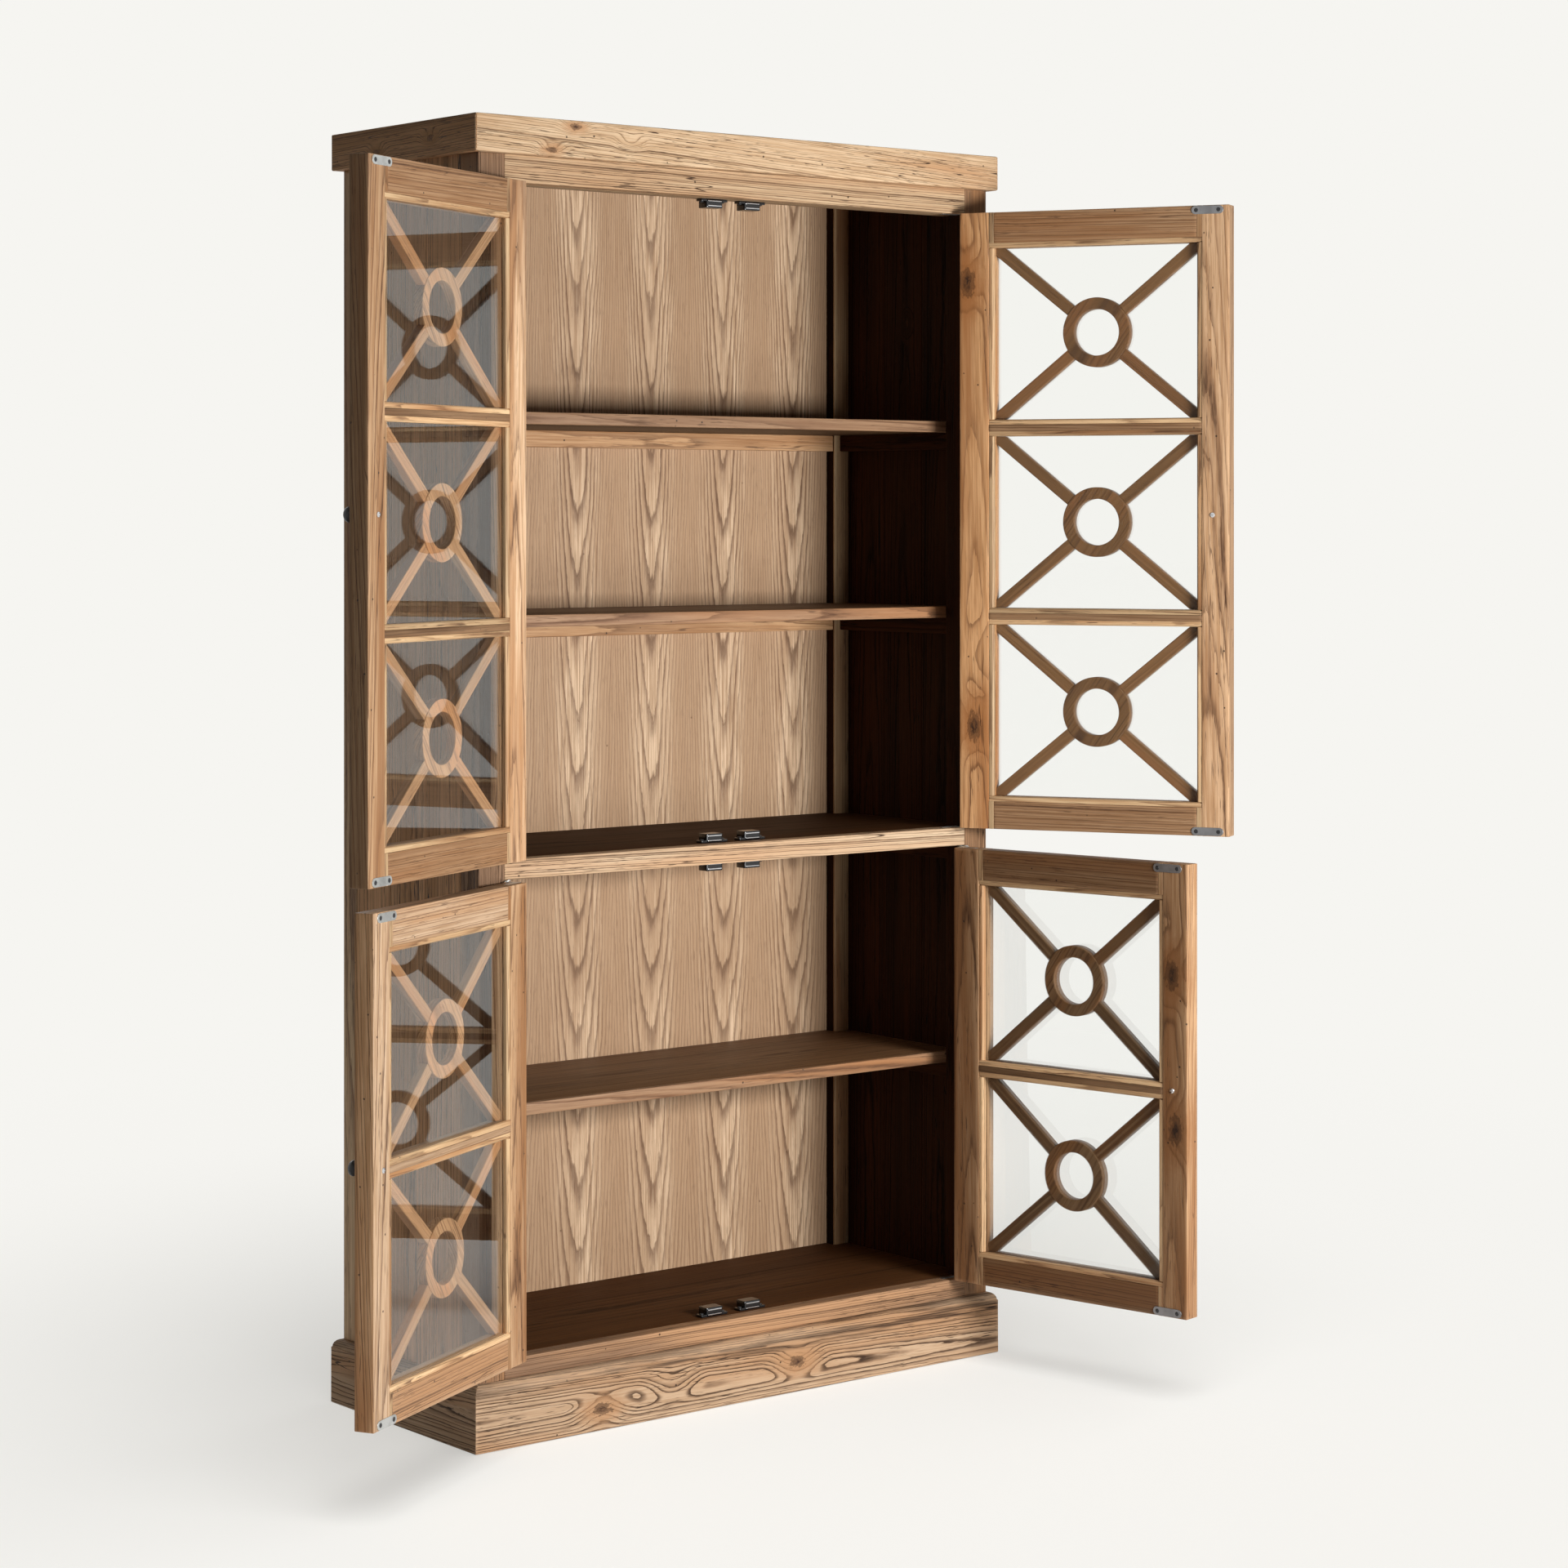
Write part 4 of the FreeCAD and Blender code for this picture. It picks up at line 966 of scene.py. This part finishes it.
def makeBeads(leaf):
    part, rebate = newPart(), door["rebate"]
    side, chamfer, d0, d1 = (beadSize[key] for key in ("side", "chamfer", "front", "back"))
    left, wide = sightLeft - rebate, sightWidth + 2 * rebate
    section = [(0, d0), (side, d0), (side, d1 - chamfer), (side - chamfer, d1), (0, d1)]
    shared = {"arris": beadSize["arris"], "band": beadSize["band"]}
    for low, high in sights(leaf):
        rows = ((Vector((left, 0, low - rebate)), (right, up, back), wide),
                (Vector((left, 0, high + rebate)), (right, -up, back), wide),
                (Vector((left, 0, low)), (up, right, back), high - low),
                (Vector((left + wide, 0, low)), (up, -right, back), high - low))
        for origin, axes, length in rows:
            addBoard(part, origin, axes, length, section, tone=dice.uniform(*beadSize["tones"]), **shared)
    height = doorHeight(leaf)
    section = box2d(0, rebate, 0, door["thickness"] - door["lip"])
    spans = ((0, door["footRail"] - rebate), (height - door["topRail"] + rebate, height))
    for x in (sightLeft - rebate, sightRight):  # filler strips in the rebates beside the rails
        for low, high in spans:
            addBoard(part, Vector((x, door["lip"], low)), (up, right, back), high - low, section,
                     tone=beadSize["fillerTone"], **shared)
    doorPiece(leaf, "_door_beads", part, wood["beadElm"], "_glazing_beads")


knob = {"fromEdge": 0.029, "segments": 48, "screwRadius": 0.0045, "screwRise": 0.0018,
        "profile": [(0.0, 0.0), (0.0080, 0.0), (0.0079, 0.0010), (0.0066, 0.0022), (0.0060, 0.0050),
                    (0.0061, 0.0075), (0.0080, 0.0110), (0.0107, 0.0145), (0.0119, 0.0170), (0.0116, 0.0190),
                    (0.0102, 0.0215), (0.0072, 0.0234), (0.0035, 0.0239), (0.0, 0.0240)]}
screw = {"segments": 24, "radius": 0.0036,  # the profile is in shares of a screw's radius and rise
         "profile": [(0.0, 0.0), (0.96, 0.0), (1.0, 0.3), (0.9, 0.75), (0.55, 1.0), (0.32, 1.0), (0.18, 0.35),
                     (0.0, 0.3)]}
strike = {"length": 0.056, "width": 0.014, "thickness": 0.0015, "fromEdge": 0.038, "margin": 0.001,
          "holeOut": 0.0195, "segments": 10, "soft": 0.0004, "screwRise": 0.0009, "screwSink": 0.9}


# A turned shape round an axis: profile points are (radius, height along the axis).
def addTurned(part, origin, axis, profile, segments):
    side = axis.orthogonal().normalized()
    other = axis.cross(side)
    first = len(part["corners"])
    for i in range(segments):
        angle = 2 * math.pi * i / segments
        outward = side * math.cos(angle) + other * math.sin(angle)
        part["corners"] += [origin + axis * height + outward * radius for radius, height in profile]
    joinRows(part, first, len(profile), segments, closeRows=True, closePoints=False)


# A pan head with a round hollow in its middle, standing on a face.
def addScrew(part, origin, axis, radius, rise):
    profile = [(radius * share, rise * high) for share, high in screw["profile"]]
    addTurned(part, origin, axis, profile, screw["segments"])


# A turned shape's points meet on its axis, so they are joined there.
def weld(piece, distance=0.00001):
    shell = bmesh.new()
    shell.from_mesh(piece.data)
    bmesh.ops.remove_doubles(shell, verts=shell.verts[:], dist=distance)
    bmesh.ops.recalc_face_normals(shell, faces=shell.faces[:])
    shell.to_mesh(piece.data)
    shell.free()


# A plate with round ends, softened round its outer face.
def addStrike(part, middle):
    half, soft, thick = strike["width"] / 2, strike["soft"], strike["thickness"]
    reach = strike["length"] / 2 - half
    outline = []
    for end, begin in ((1, -90), (-1, 90)):
        for i in range(strike["segments"] + 1):
            turn = math.radians(begin + 180 * i / strike["segments"])
            outline.append((end * reach + half * math.cos(turn), half * math.sin(turn)))
    first, levels = len(part["corners"]), ((0, 0), (thick - soft, 0), (thick, soft))
    for depth, inset in levels:
        for x, z in outline:
            pull = 1 - inset / math.hypot(x, z)
            part["corners"].append(middle + Vector((x * pull, depth, z * pull)))
    joinRows(part, first, len(outline), len(levels))
    closeEnds(part, first, len(outline), len(levels))


def makeFittings(leaf):
    part = newPart()
    centre = Vector((door["width"] - knob["fromEdge"], 0, leaf["knobRise"]))
    addTurned(part, centre, -back, knob["profile"], knob["segments"])
    weld(doorPiece(leaf, "_door_knob", part, blackIron, "_knob_and_strikes"))
    part = newPart()
    addScrew(part, centre + back * door["thickness"], back, knob["screwRadius"], knob["screwRise"])
    weld(doorPiece(leaf, "_knob_screw", part, chrome))
    plates, screws = newPart(), newPart()
    fromEnd = strike["margin"] + strike["width"] / 2
    for z in (fromEnd, doorHeight(leaf) - fromEnd):
        middle = Vector((door["width"] - strike["fromEdge"], door["thickness"], z))
        addStrike(plates, middle)
        for end in (-1, 1):
            spot = middle + right * end * strike["holeOut"] + back * strike["thickness"] * strike["screwSink"]
            addScrew(screws, spot, back, screw["radius"], strike["screwRise"])
    doorPiece(leaf, "_strike_plates", plates, zinc if leaf["hand"] > 0 else steel)
    weld(doorPiece(leaf, "_strike_screws", screws, blackIron))


for leaf in leaves:
    for make in (makeStiles, makeDoorRails, makeFretwork, makePanes, makeBeads, makeFittings):
        make(leaf)
print("doors made")

catch = {"width": 0.033, "depth": 0.023, "height": 0.015, "arris": 0.0012, "band": 0.003,
         "flangeLength": 0.054, "flangeDepth": 0.0155, "flangeThickness": 0.0045, "flangeArris": 0.0008,
         "flangeBand": 0.0014, "poleLength": 0.028, "poleThickness": 0.0017, "poleDepth": 0.012,
         "poleArris": 0.0002, "poleBand": 0.0005, "poleSpacing": 0.008, "poleRise": 0.0075, "standOut": 0.001,
         "plane": -0.166, "offset": 0.040, "screwOut": 0.02175, "screwBack": 0.0088, "screwRise": 0.0017}


def addCatch(cases, poles, screws, middle, rise):
    c, axes = catch, (right, rise, back)
    front = middle + back * c["standOut"]
    addBoard(cases, front - right * c["width"] / 2, axes, c["width"], box2d(0, c["height"], 0, c["depth"]),
             arris=c["arris"], band=c["band"], waver=0)
    addBoard(cases, front - right * c["flangeLength"] / 2, axes, c["flangeLength"],
             box2d(0, c["flangeThickness"], 0, c["flangeDepth"]), arris=c["flangeArris"], band=c["flangeBand"],
             waver=0)
    half = c["poleThickness"] / 2
    for level in (-1, 1):
        lift = c["poleRise"] + level * c["poleSpacing"] / 2
        addBoard(poles, middle - right * c["poleLength"] / 2 + rise * lift, axes, c["poleLength"],
                 box2d(-half, half, 0, c["poleDepth"]), arris=c["poleArris"], band=c["poleBand"], waver=0)
    for end in (-1, 1):
        spot = middle + right * end * c["screwOut"] + back * c["screwBack"] + rise * c["flangeThickness"]
        addScrew(screws, spot, rise, screw["radius"], c["screwRise"])


def makeCatches():
    cases, poles, screws = newPart(), newPart(), newPart()
    faces = ((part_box("floor_board")[1].z, 1), (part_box("divider_board")[0].z, -1),
             (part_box("divider_board")[1].z, 1), (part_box("header_rail")[0].z, -1))
    for z, upward in faces:
        for side in (-1, 1):
            middle = Vector((side * catch["offset"], catch["plane"], z))
            addCatch(cases, poles, screws, middle, up * upward)
    makePiece("catch_cases", cases, blackPlastic, "carcass", ["catch_housings"])
    makePiece("catch_poles", poles, chrome, "carcass", ["catch_pole_strips"])
    weld(makePiece("catch_screws", screws, blackIron, "carcass"))


makeCatches()
for nodeName, node in frame["nodes"].items():
    if "hinge_leaves" in nodeName:
        node.data.materials.clear()
        node.data.materials.append(zinc)
print("fittings made")

# Places and sizes in metres, turns and the suns' spread in degrees.
studio = {"ground": (0.9216, 0.9131, 0.8796), "groundGlow": 0.45, "glowReach": (1.4, 4.2), "ambient": 0.052,
          "bounce": 0.65, "farBounce": 0.08, "bounceReach": (1.1, 2.6), "floorReach": 60, "floorDrop": 0.0005,
          "floorLamps": [{"name": "floorSun", "power": 0.78, "place": (2, -3, 4), "turn": (46, 0, 66),
                          "spread": 62},
                         {"name": "floorFill", "power": 2.62, "place": (1, -2, 5), "turn": (26, 0, -22),
                          "spread": 44}],
          "lamps": [{"name": "frontSoftbox", "power": 97, "place": (0.48, -3.2, 1.26), "size": (1.0, 0.42),
                     "target": (0, -0.2, 1.05)},
                    {"name": "fillSoftbox", "power": 22, "place": (0.30, -3.3, 0.60), "size": (1.5, 0.7),
                     "target": (0, -0.2, 1.05)},
                    {"name": "rearSoftbox", "power": 16, "place": (0.4, 3.8, 2.4), "size": (2.0, 1.5),
                     "target": (0, 0.2, 1.05)}]}


# 1 where the camera, a reflection or a pane looks at the ground, 0 where it lights the cabinet.
def seenShare(tree):
    ray = addNode(tree, "LightPath")
    seen = sums(tree, "MAXIMUM", ray.outputs["Is Camera Ray"], ray.outputs["Is Glossy Ray"])
    return sums(tree, "MAXIMUM", seen, ray.outputs["Is Transmission Ray"])


def makeWorld():
    world = bpy.data.worlds.new("studio")
    bpy.context.scene.world = world
    world.use_nodes = True
    tree = world.node_tree
    tree.nodes.clear()
    colour = blended(tree, seenShare(tree), (studio["ambient"],) * 3, studio["ground"])
    light = addNode(tree, "Background", {"Color": colour, "Strength": 1.0})
    addNode(tree, "OutputWorld", {0: light.outputs[0]})


def makeFloor():
    half = studio["floorReach"]
    mesh = bpy.data.meshes.new("floor")
    corners = [(x, y, 0) for x, y in box2d(-half, half, -half, half)]
    mesh.from_pydata(corners, [], [(0, 1, 2, 3)])
    floor = bpy.data.objects.new("floor", mesh)
    bpy.context.scene.collection.objects.link(floor)
    floor.location.z = -studio["floorDrop"]
    material, tree = newMaterial("paleFloor")
    reach = lengthOf(tree, addNode(tree, "NewGeometry").outputs["Position"])
    white = ranged(tree, reach, *studio["bounceReach"], studio["bounce"], studio["farBounce"])
    grey = addNode(tree, "CombineColor", {0: white, 1: white, 2: white}).outputs[0]
    lit = addNode(tree, "BsdfDiffuse", {"Color": blended(tree, seenShare(tree), grey, studio["ground"])})
    glow = addNode(tree, "Emission", {"Color": studio["ground"], "Strength": 1.0})
    seen = addNode(tree, "LightPath").outputs["Is Camera Ray"]
    share = times(tree, seen, ranged(tree, reach, *studio["glowReach"], studio["groundGlow"], 1.0))
    shader = addNode(tree, "MixShader", {0: share, 1: lit.outputs[0], 2: glow.outputs[0]})
    addNode(tree, "OutputMaterial", {0: shader.outputs[0]})
    mesh.materials.append(material)
    return floor


# A lamp with a size is a soft panel turned to its target, one with a spread is a soft sun.
def makeLamp(settings):
    data = bpy.data.lights.new(settings["name"], "AREA" if "size" in settings else "SUN")
    data.energy = settings["power"]
    lamp = bpy.data.objects.new(settings["name"], data)
    bpy.context.scene.collection.objects.link(lamp)
    lamp.location = settings["place"]
    lamp.visible_transmission = False
    if "size" in settings:
        data.shape = "RECTANGLE"
        data.size, data.size_y = settings["size"]
        toTarget = Vector(settings["target"]) - Vector(settings["place"])
        lamp.rotation_euler = toTarget.to_track_quat("-Z", "Y").to_euler()
    else:
        data.angle = math.radians(settings["spread"])
        lamp.rotation_euler = [math.radians(t) for t in settings["turn"]]
    return lamp


# The floor has lamps of its own, so that its tone stays even and it keeps the cabinet's shadow.
def makeLamps(floor):
    only, rest = bpy.data.collections.new("floorOnly"), bpy.data.collections.new("notTheFloor")
    only.objects.link(floor)
    rest.objects.link(floor)
    for settings in studio["floorLamps"]:
        makeLamp(settings).light_linking.receiver_collection = only
    for settings in studio["lamps"]:
        makeLamp(settings).light_linking.receiver_collection = rest
    rest.collection_objects[0].light_linking.link_state = "EXCLUDE"


makeWorld()
makeLamps(makeFloor())

view = {"focalPixels": 4341.6, "frame": 1920, "sensor": 36.0, "horizonPixel": 634.3, "yaw": 38.725,
        "place": (-3.641, -4.840, 1.465), "farthest": 200}
cameraData = bpy.data.cameras.new("camera")
cameraData.sensor_width = view["sensor"]
cameraData.lens = view["focalPixels"] * view["sensor"] / view["frame"]
cameraData.shift_y = (view["horizonPixel"] - view["frame"] / 2) / view["frame"]
cameraData.clip_end = view["farthest"]
camera = bpy.data.objects.new("camera", cameraData)
bpy.context.scene.collection.objects.link(camera)
camera.location = view["place"]
camera.rotation_euler = (math.radians(90), 0, -math.radians(view["yaw"]))
bpy.context.scene.camera = camera
bpy.context.scene.view_settings.view_transform = "Standard"
print("studio made")
